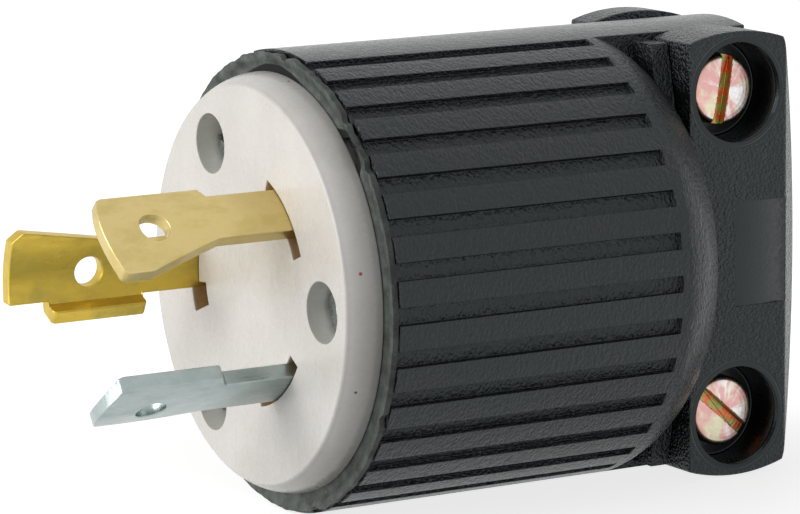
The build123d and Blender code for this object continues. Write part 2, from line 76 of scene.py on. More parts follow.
@dataclass(frozen=True)
class Layout:
    """Sizes that several pieces share."""

    radius: float = 23.5
    bore: float = 21.0
    seal_front: float = 3.6
    shell_front: float = 4.2
    straight_end: float = 38.0
    dome_end: float = 45.6
    dome_end_radius: float = 12.7
    dome_bulge: float = 2.4
    screw_x: float = 50.95
    screw_z: float = 17.0
    screw_hole: float = 2.38
    jaw_face: float = 12.57
    head_sink: float = 2.5
    head_height: float = 2.0
    nut_pocket: float = 2.4
    face_circle: float = 15.4
    face_angles: tuple[float, ...] = (61.3, 181.3, 301.3)
    face_seat: float = 3.8
    boss_front: float = 26.8

    @property
    def far_face(self) -> float:
        """Outer face of the far jaw, which is thinner by what the heads are sunk."""
        return self.jaw_face - self.head_sink

    @property
    def clamp_seat(self) -> float:
        """Distance of the clamp screws' seats from the middle."""
        return self.far_face - self.head_height

    @property
    def nut_seat(self) -> float:
        """Distance of the nuts' seats from the middle."""
        return self.far_face - self.nut_pocket


LAYOUT = Layout()


# Modelling by hand


class Facing(Enum):
    """The axis that a flat outline is pushed along."""

    ALONG = "x"
    ACROSS = "y"

    def place(self, u: float, v: float, depth: float) -> Vector:
        """Turn an outline point and a depth, in millimetres, into a point of the model."""
        if self is Facing.ALONG:
            return Vector((depth, u, v)) * MM
        return Vector((u, depth, v)) * MM


class Join(Enum):
    """How a second solid is combined with the first."""

    CUT = "DIFFERENCE"
    FUSE = "UNION"
    KEEP_SHARED = "INTERSECT"


def clear_selection() -> None:
    """Deselect every object and leave none active."""
    for obj in bpy.context.view_layer.objects:
        obj.select_set(False)
    bpy.context.view_layer.objects.active = None


def focus(obj: bpy.types.Object) -> None:
    """Select one object alone and make it active."""
    clear_selection()
    obj.select_set(True)
    bpy.context.view_layer.objects.active = obj


@contextmanager
def editing(obj: bpy.types.Object) -> Iterator[None]:
    """Hold an object in edit mode.

    Args:
        obj: The mesh object to edit.
    """
    focus(obj)
    bpy.ops.object.mode_set(mode="EDIT")
    bpy.ops.mesh.select_mode(type="FACE")
    yield
    bpy.ops.object.mode_set(mode="OBJECT")


def edit_mesh(obj: bpy.types.Object) -> bmesh.types.BMesh:
    """Give the mesh that is being edited."""
    return bmesh.from_edit_mesh(obj.data)


def pick_faces(obj: bpy.types.Object, wanted: Callable[[Vector], bool]) -> None:
    """Select the faces whose middles, in millimetres, pass a test.

    Args:
        obj: The object in edit mode.
        wanted: Says whether a face with its middle at this point is selected.
    """
    mesh = edit_mesh(obj)
    for face in mesh.faces:
        face.select_set(wanted(face.calc_center_median() / MM))
    bmesh.update_edit_mesh(obj.data)


def reshape(obj: bpy.types.Object, change: Callable[[Vector], Vector]) -> None:
    """Move every corner of a mesh.

    Args:
        obj: The object, out of edit mode.
        change: Gives the new place of a corner, in millimetres, from the old one.
    """
    for vert in obj.data.vertices:
        vert.co = change(vert.co / MM) * MM


def face_outwards(obj: bpy.types.Object) -> None:
    """Turn all normals outwards, in edit mode."""
    bpy.ops.mesh.select_all(action="SELECT")
    bpy.ops.mesh.normals_make_consistent(inside=False)
    bpy.ops.mesh.select_all(action="DESELECT")


def new_ring(name: str, count: int, filled: bool) -> bpy.types.Object:
    """Add a circle as the start of an outline.

    Args:
        name: The object's name.
        count: How many corners the outline has.
        filled: Whether the circle has a face.

    Returns:
        The new object.
    """
    clear_selection()
    bpy.ops.mesh.primitive_circle_add(vertices=count, radius=MM, fill_type="NGON" if filled else "NOTHING")
    obj = bpy.context.object
    obj.name = name
    obj.data.name = name
    return obj


def plate(name: str, outline: Sequence[Point], facing: Facing, start: float, end: float) -> bpy.types.Object:
    """Push a flat outline into a solid.

    Args:
        name: The object's name.
        outline: Corners of the outline, in order.
        facing: The axis that the outline is pushed along.
        start: Depth of the first face.
        end: Depth of the last face.

    Returns:
        A closed solid.
    """
    obj = new_ring(name, len(outline), True)
    with editing(obj):
        mesh = edit_mesh(obj)
        for vert, (u, v) in zip(mesh.verts, outline):
            vert.co = facing.place(u, v, start)
        bmesh.update_edit_mesh(obj.data)
        bpy.ops.mesh.select_all(action="SELECT")
        move = {"value": facing.place(0, 0, end - start)}
        bpy.ops.mesh.extrude_region_move(TRANSFORM_OT_translate=move)
        face_outwards(obj)
    return obj


def lathe(name: str, section: Sequence[Point], steps: int, ring: bool = False) -> bpy.types.Object:
    """Spin a half section about the plug's axis.

    Args:
        name: The object's name.
        section: Points (x, radius) of the half section, in order.
        steps: How many steps the full turn has.
        ring: Whether the section closes on itself. If not, it starts and ends on the axis.

    Returns:
        A closed solid.
    """
    obj = new_ring(name, len(section), False)
    with editing(obj):
        mesh = edit_mesh(obj)
        mesh.verts.ensure_lookup_table()
        for vert, (x, radius) in zip(mesh.verts, section):
            vert.co = Vector((x, 0, radius)) * MM
        if not ring:
            last_edge = mesh.edges.get((mesh.verts[0], mesh.verts[len(section) - 1]))
            mesh.edges.remove(last_edge)
        bmesh.update_edit_mesh(obj.data)
        bpy.ops.mesh.select_mode(type="VERT")
        bpy.ops.mesh.select_all(action="SELECT")
        bpy.ops.mesh.spin(steps=steps, angle=math.tau, center=(0, 0, 0), axis=(1, 0, 0))
        bpy.ops.mesh.select_all(action="SELECT")
        bpy.ops.mesh.remove_doubles(threshold=0.0005 * MM)
        face_outwards(obj)
    return obj


def box(name: str, low: Sequence[float], high: Sequence[float]) -> bpy.types.Object:
    """Add a block between two corners given in millimetres."""
    clear_selection()
    centre = (Vector(low) + Vector(high)) / 2 * MM
    size = (Vector(high) - Vector(low)) * MM
    bpy.ops.mesh.primitive_cube_add(size=1, location=centre, scale=size)
    obj = bpy.context.object
    obj.name = name
    bpy.ops.object.transform_apply(location=True, rotation=True, scale=True)
    return obj


def rod(
    name: str,
    radius: float,
    start: Sequence[float],
    end: Sequence[float],
    sides: int = 96,
    end_radius: float | None = None,
) -> bpy.types.Object:
    """Add a round bar between two points.

    Args:
        name: The object's name.
        radius: The bar's radius, to the corners of its outline.
        start: Middle of the first end.
        end: Middle of the last end.
        sides: How many sides the bar has.
        end_radius: Radius at the last end, where the bar tapers.

    Returns:
        A closed solid.
    """
    clear_selection()
    run = Vector(end) - Vector(start)
    bpy.ops.mesh.primitive_cone_add(
        vertices=sides,
        radius1=radius * MM,
        radius2=(radius if end_radius is None else end_radius) * MM,
        depth=run.length * MM,
        location=(Vector(end) + Vector(start)) / 2 * MM,
        rotation=run.to_track_quat("Z", "X").to_euler(),
    )
    obj = bpy.context.object
    obj.name = name
    bpy.ops.object.transform_apply(location=True, rotation=True, scale=True)
    return obj


def combine(obj: bpy.types.Object, tools: Sequence[bpy.types.Object], how: Join) -> None:
    """Cut other solids out of one, or fuse them to it, and remove them.

    Args:
        obj: The solid that stays.
        tools: The solids that are used up.
        how: Whether they are cut out or fused.
    """
    for tool in tools:
        modifier = obj.modifiers.new(how.name, "BOOLEAN")
        modifier.operation = how.value
        modifier.solver = "EXACT"
        modifier.object = tool
        focus(obj)
        bpy.ops.object.modifier_apply(modifier=modifier.name)
        bpy.data.objects.remove(tool, do_unlink=True)


def tidy(obj: bpy.types.Object, nearest: float = 0.004, flat: float = 0.1) -> None:
    """Clean up what the cuts left.

    Args:
        obj: The solid.
        nearest: Corners nearer to each other than this are merged.
        flat: Faces that turn by less than this angle become one.
    """
    with editing(obj):
        bpy.ops.mesh.select_all(action="SELECT")
        bpy.ops.mesh.remove_doubles(threshold=nearest * MM)
        bpy.ops.mesh.dissolve_limited(angle_limit=math.radians(flat))
        bpy.ops.mesh.dissolve_degenerate(threshold=nearest * MM / 2)
        bpy.ops.mesh.select_all(action="DESELECT")


def soften(obj: bpy.types.Object, width: float, segments: int = 2, angle: float = 32.0) -> None:
    """Round the sharp edges of a solid and shade the rest smooth.

    Args:
        obj: The solid.
        width: Width of the rounding.
        segments: How many faces the rounding has.
        angle: Edges that turn by less than this stay as they are.
    """
    if width > 0:
        modifier = obj.modifiers.new("Soften", "BEVEL")
        modifier.width = width * MM
        modifier.segments = segments
        modifier.limit_method = "ANGLE"
        modifier.angle_limit = math.radians(angle)
        modifier.use_clamp_overlap = False
        modifier.loop_slide = False
        focus(obj)
        bpy.ops.object.modifier_apply(modifier=modifier.name)
    focus(obj)
    bpy.ops.object.shade_smooth_by_angle(angle=math.radians(50))
    modifier = obj.modifiers.new("Even", "WEIGHTED_NORMAL")
    modifier.keep_sharp = True
    modifier.weight = 80
    bpy.ops.object.modifier_apply(modifier=modifier.name)


def copy_of(obj: bpy.types.Object, name: str, change: Matrix) -> bpy.types.Object:
    """Copy a piece with a mesh of its own and move the copy.

    Args:
        obj: The piece to copy.
        name: Name of the copy.
        change: The move, in metres. One that mirrors has its normals turned back.

    Returns:
        The copy.
    """
    twin = obj.copy()
    twin.data = obj.data.copy()
    twin.name = name
    twin.data.name = name
    bpy.context.scene.collection.objects.link(twin)
    twin.data.transform(change)
    if change.determinant() < 0:
        twin.data.flip_normals()
    return twin


def cut_through(obj: bpy.types.Object, point: Sequence[float], normal: Sequence[float], drop: bool) -> None:
    """Slice a solid by a plane.

    Args:
        obj: The solid.
        point: A point of the plane.
        normal: The plane's normal.
        drop: Whether the side that the normal points to is taken off and the cut closed.
    """
    with editing(obj):
        bpy.ops.mesh.select_all(action="SELECT")
        bpy.ops.mesh.bisect(plane_co=Vector(point) * MM, plane_no=normal, clear_outer=drop, use_fill=drop)
        bpy.ops.mesh.select_all(action="DESELECT")


def rounded(start: Point, through: Point, end: Point, count: int) -> list[Point]:
    """Points on the arc through three points.

    Args:
        start: First point.
        through: A point on the way.
        end: Last point.
        count: How many steps the arc has.

    Returns:
        The points from first to last, both included.
    """
    (ax, ay), (bx, by), (cx, cy) = start, through, end
    d = 2 * (ax * (by - cy) + bx * (cy - ay) + cx * (ay - by))
    a2, b2, c2 = ax * ax + ay * ay, bx * bx + by * by, cx * cx + cy * cy
    ox = (a2 * (by - cy) + b2 * (cy - ay) + c2 * (ay - by)) / d
    oy = (a2 * (cx - bx) + b2 * (ax - cx) + c2 * (bx - ax)) / d
    radius = math.hypot(ax - ox, ay - oy)
    first = math.atan2(ay - oy, ax - ox)
    middle = (math.atan2(by - oy, bx - ox) - first) % math.tau
    sweep = (math.atan2(cy - oy, cx - ox) - first) % math.tau
    if middle > sweep:
        sweep -= math.tau
    turns = [first + sweep * step / count for step in range(count + 1)]
    return [(ox + radius * math.cos(turn), oy + radius * math.sin(turn)) for turn in turns]


def bulged(start: Point, end: Point, bulge: float, count: int) -> list[Point]:
    """Points on the arc that stands a given distance to the left of a straight line."""
    run = Vector(end) - Vector(start)
    left = Vector((-run.y, run.x)).normalized() * bulge
    middle = (Vector(start) + Vector(end)) / 2 + left
    return rounded(start, (middle.x, middle.y), end, count)


def polar(radius: float, angle: float) -> Point:
    """Point (y, z) at a radius and an angle round the plug."""
    return radius * math.cos(math.radians(angle)), radius * math.sin(math.radians(angle))


def band(inner: float, outer: float, first: float, last: float, count: int = 16) -> list[Point]:
    """Outline of a piece of a ring, between two angles round the plug."""
    turns = [first + (last - first) * step / count for step in range(count + 1)]
    return [polar(outer, turn) for turn in turns] + [polar(inner, turn) for turn in reversed(turns)]


def hump(value: float, middle: float, half: float) -> float:
    """1 at the middle of a span and 0 from its ends on, with smooth flanks."""
    away = min(abs(value - middle) / half, 1.0)
    return 0.5 + 0.5 * math.cos(math.pi * away)


# Finishes

COOL = (0.86, 1.0, 1.03, 1.0)


class Sheet:
    """A material's nodes, added one after the other."""

    def __init__(self, name: str) -> None:
        """Start a material with an empty sheet.

        Args:
            name: The material's name.
        """
        self.material = bpy.data.materials.new(name)
        self.material.use_nodes = True
        self.tree = self.material.node_tree
        self.tree.nodes.clear()
        self.shader = self.add("ShaderNodeBsdfPrincipled")
        self.output = self.add("ShaderNodeOutputMaterial")
        self.tree.links.new(self.shader.outputs["BSDF"], self.output.inputs["Surface"])
        self.place = self.add("ShaderNodeTexCoord").outputs["Object"]

    def add(self, kind: str, **settings: object) -> bpy.types.Node:
        """Add a node.

        Args:
            kind: The node's type.
            settings: Properties of the node.

        Returns:
            The node.
        """
        node = self.tree.nodes.new(kind)
        for name, value in settings.items():
            setattr(node, name, value)
        return node

    def feed(self, value: Socket | float | Sequence[float], target: Socket) -> None:
        """Join an output to an input, or set the input where a plain value is given."""
        if isinstance(value, bpy.types.NodeSocket):
            self.tree.links.new(value, target)
        else:
            target.default_value = value

    def millimetres(self, scale: Sequence[float] = (1, 1, 1), centre: Sequence[float] = (0, 0, 0)) -> Socket:
        """Place on the piece in millimetres from a centre, times a scale along each axis."""
        node = self.add("ShaderNodeMapping")
        node.inputs["Scale"].default_value = [value / MM for value in scale]
        node.inputs["Location"].default_value = [-place * value for place, value in zip(centre, scale)]
        self.feed(self.place, node.inputs["Vector"])
        return node.outputs["Vector"]

    def parts(self, vector: Socket) -> list[Socket]:
        """The three numbers of a vector."""
        node = self.add("ShaderNodeSeparateXYZ")
        self.feed(vector, node.inputs[0])
        return list(node.outputs)

    def count(self, operation: str, first: Socket | float, second: Socket | float = 0.0) -> Socket:
        """Work out a number from two others."""
        node = self.add("ShaderNodeMath", operation=operation)
        self.feed(first, node.inputs[0])
        self.feed(second, node.inputs[1])
        return node.outputs[0]

    def length(self, first: Socket, second: Socket) -> Socket:
        """Length of the two sides' diagonal."""
        squared = self.count("MULTIPLY", first, first)
        return self.count("SQRT", self.count("ADD", squared, self.count("MULTIPLY", second, second)))

    def wrapped(self, along: float, around: float) -> Socket:
        """Place on the sleeve as its length and its girth in millimetres, times a scale for each."""
        x, y, z = self.parts(self.millimetres())
        turn = self.count("ARCTAN2", z, self.count("MULTIPLY", y, -1.0))
        node = self.add("ShaderNodeCombineXYZ")
        self.feed(self.count("MULTIPLY", x, along), node.inputs[0])
        self.feed(self.count("MULTIPLY", turn, LAYOUT.radius * around), node.inputs[1])
        self.feed(self.count("MULTIPLY", self.length(y, z), along), node.inputs[2])
        return node.outputs[0]

    def noise(self, where: Socket, scale: float, detail: float = 3.0, rough: float = 0.5) -> Socket:
        """Noise from 0 to 1, with so many cells to a millimetre."""
        node = self.add("ShaderNodeTexNoise")
        for name, value in (("Scale", scale), ("Detail", detail), ("Roughness", rough), ("Vector", where)):
            self.feed(value, node.inputs[name])
        return node.outputs["Fac"]

    def pebbles(self, where: Socket, scale: float) -> Socket:
        """Rounded cells, lowest at their middles, with so many to a millimetre."""
        node = self.add("ShaderNodeTexVoronoi", feature="SMOOTH_F1")
        for name, value in (("Scale", scale), ("Smoothness", 0.5), ("Vector", where)):
            self.feed(value, node.inputs[name])
        return node.outputs["Distance"]

    def span(self, source: Socket, low: float, high: float, to_low: float = 0.0, to_high: float = 1.0) -> Socket:
        """A value moved from one range to another, and kept inside it."""
        node = self.add("ShaderNodeMapRange", clamp=True)
        ends = (("From Min", low), ("From Max", high), ("To Min", to_low), ("To Max", to_high))
        for name, value in (*ends, ("Value", source)):
            self.feed(value, node.inputs[name])
        return node.outputs["Result"]

    def between(self, factor: Socket, first: Rgb | Socket, second: Rgb | Socket) -> Socket:
        """A colour between two, as a factor goes from 0 to 1."""
        node = self.add("ShaderNodeMix", data_type="RGBA")
        factor_in, first_in, second_in = node.inputs[0], node.inputs[6], node.inputs[7]
        self.feed(factor, factor_in)
        for colour, target in ((first, first_in), (second, second_in)):
            self.feed(colour if isinstance(colour, bpy.types.NodeSocket) else (*colour, 1), target)
        return node.outputs[2]

    def relief(self, height: Socket, depth: float, strength: Socket | float = 1.0, under: Socket | None = None) -> Socket:
        """Bumps of a depth in millimetres, on top of others where those are given."""
        node = self.add("ShaderNodeBump")
        self.feed(strength, node.inputs["Strength"])
        self.feed(depth * MM, node.inputs["Distance"])
        self.feed(height, node.inputs["Height"])
        if under is not None:
            self.feed(under, node.inputs["Normal"])
        return node.outputs["Normal"]

    def dress(
        self, colour: Socket, roughness: Socket, normal: Socket, **values: float | Sequence[float]
    ) -> bpy.types.Material:
        """Join the finished colour, roughness and normal to the shader.

        Args:
            colour: The colour.
            roughness: The roughness.
            normal: The bumped normal.
            values: Numbers or colours of the shader, named with _ for a space.

        Returns:
            The material.
        """
        self.feed(colour, self.shader.inputs["Base Color"])
        self.feed(roughness, self.shader.inputs["Roughness"])
        self.feed(normal, self.shader.inputs["Normal"])
        for name, value in values.items():
            self.shader.inputs[name.replace("_", " ")].default_value = value
        return self.material


@dataclass(frozen=True)
class SleevePlastic:
    """Glossy black moulding whose pebbled grain is drawn out round the sleeve."""

    name: str = "sleeve_black"
    green: Rgb = (0.008, 0.010, 0.010)
    violet: Rgb = (0.014, 0.012, 0.014)
    along: float = 3.1
    around: float = 1.9
    depth: float = 0.17
    smooth_half: float = 5.2

    def material(self) -> bpy.types.Material:
        """Build the finish."""
        sheet = Sheet(self.name)
        plain = sheet.millimetres()
        where = sheet.wrapped(self.along, self.around)
        cells = sheet.pebbles(where, 1.0)
        fine = sheet.noise(where, 1.6, 3, 0.6)
        mixed = sheet.count("ADD", sheet.count("MULTIPLY", cells, -0.8), fine)
        tint = sheet.between(sheet.span(sheet.noise(plain, 0.16, 4), 0.4, 0.6), self.green, self.violet)
        rough = sheet.span(sheet.noise(plain, 1.7), 0.3, 0.7, 0.16, 0.28)
        _, y, _ = sheet.parts(plain)
        side = sheet.count("ABSOLUTE", y)
        strength = sheet.span(side, self.smooth_half - 0.4, self.smooth_half + 0.4, 0.30, 1.0)
        wavy = sheet.relief(sheet.noise(plain, 0.5, 2), 0.10, 0.5)
        normal = sheet.relief(mixed, self.depth, strength, wavy)
        return sheet.dress(tint, rough, normal, IOR=1.45, Specular_Tint=COOL)


@dataclass(frozen=True)
class ClampPlastic:
    """Black moulding with a coarse even grain, bare on the pad of the near jaw."""

    name: str = "clamp_black"
    dark: Rgb = (0.008, 0.009, 0.009)
    pale: Rgb = (0.013, 0.013, 0.014)
    cells: float = 2.5
    depth: float = 0.28
    bare_ring: float = 6.0
    ring_line: float = 5.75
    pad_front: float = 50.65
    pad_back: float = 57.0
    pad_half: float = 5.5

    def material(self) -> bpy.types.Material:
        """Build the finish."""
        sheet = Sheet(self.name)
        where = sheet.millimetres()
        grain = sheet.count("ADD", sheet.count("MULTIPLY", sheet.pebbles(where, self.cells), -0.8), sheet.noise(where, 4, 2))
        tint = sheet.between(sheet.span(sheet.noise(where, 0.22, 4), 0.4, 0.6), self.dark, self.pale)
        x, y, z = sheet.parts(where)
        middle = (self.pad_front + self.pad_back) / 2
        half = (self.pad_back - self.pad_front) / 2
        past_end = sheet.count("SUBTRACT", sheet.count("ABSOLUTE", sheet.count("SUBTRACT", x, middle)), half)
        past_side = sheet.count("SUBTRACT", sheet.count("ABSOLUTE", z), self.pad_half)
        past_face = sheet.count("SUBTRACT", sheet.count("ABSOLUTE", y), LAYOUT.jaw_face - 0.05)
        outside = sheet.count("MAXIMUM", sheet.count("MAXIMUM", past_end, past_side), past_face)
        inner = sheet.span(sheet.count("ABSOLUTE", y), LAYOUT.jaw_face - 0.8, LAYOUT.jaw_face - 0.3, 1.0, 0.0)
        strength = sheet.count("MAXIMUM", sheet.span(outside, -0.05, 0.05, 0.06, 1.0), inner)
        above = sheet.count("SUBTRACT", sheet.count("ABSOLUTE", z), LAYOUT.screw_z)
        away = sheet.length(sheet.count("SUBTRACT", x, LAYOUT.screw_x), above)
        strength = sheet.count("MULTIPLY", strength, sheet.span(away, self.bare_ring - 0.1, self.bare_ring, 0.03, 1.0))
        from_line = sheet.count("ABSOLUTE", sheet.count("SUBTRACT", away, self.ring_line))
        line = sheet.relief(sheet.span(from_line, 0.0, 0.12), 0.08, 0.8)
        rough = sheet.span(sheet.noise(where, 1.7), 0.3, 0.7, 0.18, 0.30)
        normal = sheet.relief(grain, self.depth, strength, line)
        return sheet.dress(tint, rough, normal, IOR=1.45, Specular_Tint=COOL)


@dataclass(frozen=True)
class Speck:
    """A small mark on the light moulding."""

    x: float
    radius: float
    angle: float
    size: float
    colour: Rgb

    @property
    def place(self) -> tuple[float, float, float]:
        """Where the mark lies, in millimetres."""
        return (self.x, *polar(self.radius, self.angle))


@dataclass(frozen=True)
class SatinFace:
    """Warm light insulator with a satin skin, faint clouds, a few specks, and painted warm shade on the slot walls."""

    name: str = "satin_face"
    base: Rgb = (0.700, 0.672, 0.636)
    pale: Rgb = (0.760, 0.735, 0.705)
    stain: Rgb = (0.52, 0.47, 0.38)
    # Warm brown painted shade for the walls of the blade slots.
    tan: Rgb = (0.66, 0.46, 0.26)
    slot_circle: float = 11.35
    specks: tuple[Speck, ...] = (
        Speck(1.5, 20.95, 168.7, 0.22, (0.45, 0.07, 0.04)),
        Speck(1.4, 20.95, 201.6, 0.18, (0.04, 0.03, 0.03)),
        Speck(2.9, 21.28, 101.2, 0.16, (0.20, 0.06, 0.04)),
    )

    def material(self) -> bpy.types.Material:
        """Build the finish."""
        sheet = Sheet(self.name)
        where = sheet.millimetres()
        clouds = sheet.noise(where, 0.13, 4, 0.55)
        colour = sheet.between(sheet.span(clouds, 0.38, 0.62), self.base, self.pale)
        smears = sheet.noise(sheet.millimetres((1, 1.6, 0.5)), 0.7, 5, 0.65)
        colour = sheet.between(sheet.span(smears, 0.64, 0.80, 0.0, 0.35), colour, self.stain)
        for speck in self.specks:
            node = sheet.add("ShaderNodeVectorMath", operation="DISTANCE")
            sheet.feed(where, node.inputs[0])
            sheet.feed(speck.place, node.inputs[1])
            spot = sheet.span(node.outputs["Value"], speck.size * 0.6, speck.size, 1.0, 0.0)
            colour = sheet.between(spot, colour, speck.colour)
        # Painted shade: the slot walls turn warm brown past the first 0.15 to 0.35 mm of depth.
        x, y, z = sheet.parts(where)
        from_slots = sheet.count("ABSOLUTE", sheet.count("SUBTRACT", sheet.length(y, z), self.slot_circle))
        slot = sheet.count("MULTIPLY", sheet.span(from_slots, 0.95, 1.0, 1.0, 0.0), sheet.span(x, 0.15, 0.35))
        colour = sheet.between(slot, colour, self.tan)
        rough = sheet.span(sheet.noise(where, 0.8), 0.3, 0.7, 0.22, 0.34)
        broad = sheet.relief(sheet.noise(where, 0.25, 3), 0.10, 0.35)
        normal = sheet.relief(sheet.noise(where, 1.6, 3, 0.5), 0.012, 0.5, broad)
        return sheet.dress(colour, rough, normal, IOR=1.5)


@dataclass(frozen=True)
class SealRubber:
    """Dark grey green rubber, dusty on its lip, with a thin ring of painted shadow on its inner edge, wider at the top
    and at the tear.
    """

    name: str = "seal_rubber"
    dark: Rgb = (0.026, 0.031, 0.028)
    dusty: Rgb = (0.085, 0.100, 0.090)
    crumb: Rgb = (0.22, 0.24, 0.22)
    # Painted shadow: a near-black colour on the seal's inner edge, reaching further out in each listed sector (angle,
    # half width, reach).
    gap: Rgb = (0.002, 0.002, 0.002)
    painted_shadow_sectors: tuple[tuple[float, float, float], ...] = ((88.0, 20.0, 0.85), (134.5, 8.5, 1.65))

    def material(self) -> bpy.types.Material:
        """Build the finish."""
        sheet = Sheet(self.name)
        where = sheet.millimetres()
        patches = sheet.noise(where, 0.6, 5, 0.65)
        colour = sheet.between(sheet.span(patches, 0.36, 0.64), self.dark, self.dusty)
        crumbs = sheet.noise(where, 3.2, 2)
        colour = sheet.between(sheet.span(crumbs, 0.66, 0.76, 0.0, 0.7), colour, self.crumb)
        # Painted shadow: the inner edge turns near black, out to a radius that grows in the sectors at the top and at
        # the tear.
        _, y, z = sheet.parts(where)
        turn = sheet.count("MULTIPLY", sheet.count("ARCTAN2", z, y), math.degrees(1))
        reach: Socket | float = LAYOUT.bore + 0.15
        for middle, half, height in self.painted_shadow_sectors:
            off = sheet.count("ABSOLUTE", sheet.count("SUBTRACT", turn, middle))
            reach = sheet.count("ADD", reach, sheet.span(off, half * 0.2, half, height, 0.0))
        past = sheet.count("SUBTRACT", sheet.length(y, z), reach)
        painted_shade_mask = sheet.span(past, 0.0, 0.12, 1.0, 0.0)
        colour = sheet.between(painted_shade_mask, colour, self.gap)
        rough = sheet.count("MAXIMUM", sheet.span(patches, 0.3, 0.7, 0.72, 0.46), painted_shade_mask)
        normal = sheet.relief(sheet.noise(where, 1.6, 4, 0.6), 0.10, 0.8)
        return sheet.dress(colour, rough, normal)


@dataclass(frozen=True)
class DrawnMetal:
    """Bare or plated strip, drawn along X, with faint stains."""

    name: str
    base: Rgb
    stain: Rgb
    smooth: float = 0.20
    rough: float = 0.34
    stained: float = 0.45

    def material(self) -> bpy.types.Material:
        """Build the finish."""
        sheet = Sheet(self.name)
        where = sheet.millimetres()
        drawn = sheet.noise(sheet.millimetres((0.25, 5, 5)), 1.0, 4, 0.6)
        patches = sheet.noise(sheet.millimetres((0.6, 1, 1)), 0.45, 6, 0.68)
        colour = sheet.between(sheet.span(patches, 0.47, 0.66, 0, self.stained), self.base, self.stain)
        rough = sheet.count("ADD", sheet.span(drawn, 0.3, 0.7, self.smooth, self.rough), sheet.span(patches, 0.4, 0.7, 0, 0.1))
        wavy = sheet.relief(sheet.noise(where, 0.35, 3), 0.16, 0.4)
        normal = sheet.relief(drawn, 0.008, 0.8, wavy)
        return sheet.dress(colour, rough, normal, Metallic=1.0)


@dataclass(frozen=True)
class PassivatedZinc:
    """Yellow passivated zinc: turned rings, rose and gold tints, stronger colours in the slot."""

    name: str
    centre: tuple[float, float, float]
    rose: Rgb = (0.74, 0.42, 0.40)
    gold: Rgb = (0.74, 0.70, 0.50)
    white: Rgb = (0.86, 0.86, 0.84)
    red: Rgb = (0.62, 0.16, 0.07)
    moss: Rgb = (0.34, 0.36, 0.12)

    def material(self) -> bpy.types.Material:
        """Build the finish."""
        sheet = Sheet(self.name)
        where = sheet.millimetres(centre=self.centre)
        x, height, z = sheet.parts(where)
        squared = sheet.count("ADD", sheet.count("MULTIPLY", x, x), sheet.count("MULTIPLY", z, z))
        radius = sheet.count("SQRT", squared)
        turn = sheet.count("ARCTAN2", z, x)
        fan = sheet.add("ShaderNodeCombineXYZ")
        sheet.feed(sheet.count("COSINE", turn), fan.inputs[0])
        sheet.feed(sheet.count("SINE", turn), fan.inputs[1])
        sheet.feed(sheet.count("MULTIPLY", radius, 0.12), fan.inputs[2])
        sectors = sheet.noise(fan.outputs[0], 1.5, 3, 0.6)
        blotches = sheet.noise(where, 0.45, 3)
        colour = sheet.between(sheet.span(blotches, 0.50, 0.62), self.rose, self.gold)
        colour = sheet.between(sheet.span(sectors, 0.54, 0.66), colour, self.white)
        depths = sheet.noise(where, 1.3, 2)
        inside = sheet.between(sheet.span(depths, 0.42, 0.58), self.red, self.moss)
        sunk = sheet.span(height, 0.10, 0.35)
        colour = sheet.between(sunk, colour, inside)
        rings = sheet.count("SINE", sheet.count("MULTIPLY", radius, 14.0))
        rough = sheet.span(sheet.noise(where, 1.5), 0.3, 0.7, 0.24, 0.40)
        lathe_marks = sheet.relief(rings, 0.004, 0.6)
        normal = sheet.relief(sheet.noise(where, 2.2, 4, 0.6), 0.03, 0.6, lathe_marks)
        return sheet.dress(colour, rough, normal, Metallic=1.0)


@dataclass(frozen=True)
class MattMoulding:
    """Dark matt insulator of the parts inside."""

    name: str = "dark_moulding"
    base: Rgb = (0.045, 0.046, 0.050)
    pale: Rgb = (0.070, 0.070, 0.074)

    def material(self) -> bpy.types.Material:
        """Build the finish."""
        sheet = Sheet(self.name)
        where = sheet.millimetres()
        patches = sheet.noise(where, 0.4, 4)
        colour = sheet.between(sheet.span(patches, 0.35, 0.65), self.base, self.pale)
        rough = sheet.span(patches, 0.3, 0.7, 0.50, 0.66)
        return sheet.dress(colour, rough, sheet.relief(sheet.noise(where, 2.4, 3), 0.04, 0.7))


class Finishes:
    """Every finish of the plug, each built once."""

    def __init__(self) -> None:
        """Build the materials."""
        self.sleeve = SleevePlastic().material()
        self.clamp = ClampPlastic().material()
        self.face = SatinFace().material()
        self.rubber = SealRubber().material()
        self.brass = DrawnMetal("drawn_brass", (0.64, 0.51, 0.22), (0.48, 0.37, 0.11), 0.24, 0.40).material()
        self.ground = DrawnMetal("stained_brass", (0.60, 0.43, 0.07), (0.42, 0.34, 0.08), 0.24, 0.40, 0.8).material()
        self.plated = DrawnMetal("bluish_plating", (0.39, 0.45, 0.44), (0.27, 0.34, 0.34), 0.22, 0.36).material()
        self.zinc = DrawnMetal("bright_zinc", (0.50, 0.56, 0.54), (0.14, 0.18, 0.16), 0.16, 0.30, 0.9).material()
        self.green = DrawnMetal("green_plating", (0.10, 0.36, 0.18), (0.05, 0.20, 0.10), 0.25, 0.42).material()
        self.dark = MattMoulding().material()

    @staticmethod
    def passivated(name: str, side: int) -> bpy.types.Material:
        """Build the yellow zinc of the clamp screw and nut above (1) or below (-1) the cord."""
        return PassivatedZinc(name, (LAYOUT.screw_x, -LAYOUT.far_face, side * LAYOUT.screw_z)).material()


def present(obj: bpy.types.Object, material: bpy.types.Material, node: str) -> None:
    """Give a piece its finish and its place in the frame.

    Args:
        obj: The piece.
        material: Its finish.
        node: The CAD node that it replaces.
    """
    obj.data.materials.clear()
    obj.data.materials.append(material)
    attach(obj, BODY)
    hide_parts(node)
    LOG.info("%s: %d faces, replaces %s", obj.name, len(obj.data.polygons), node)


# The plug's pieces


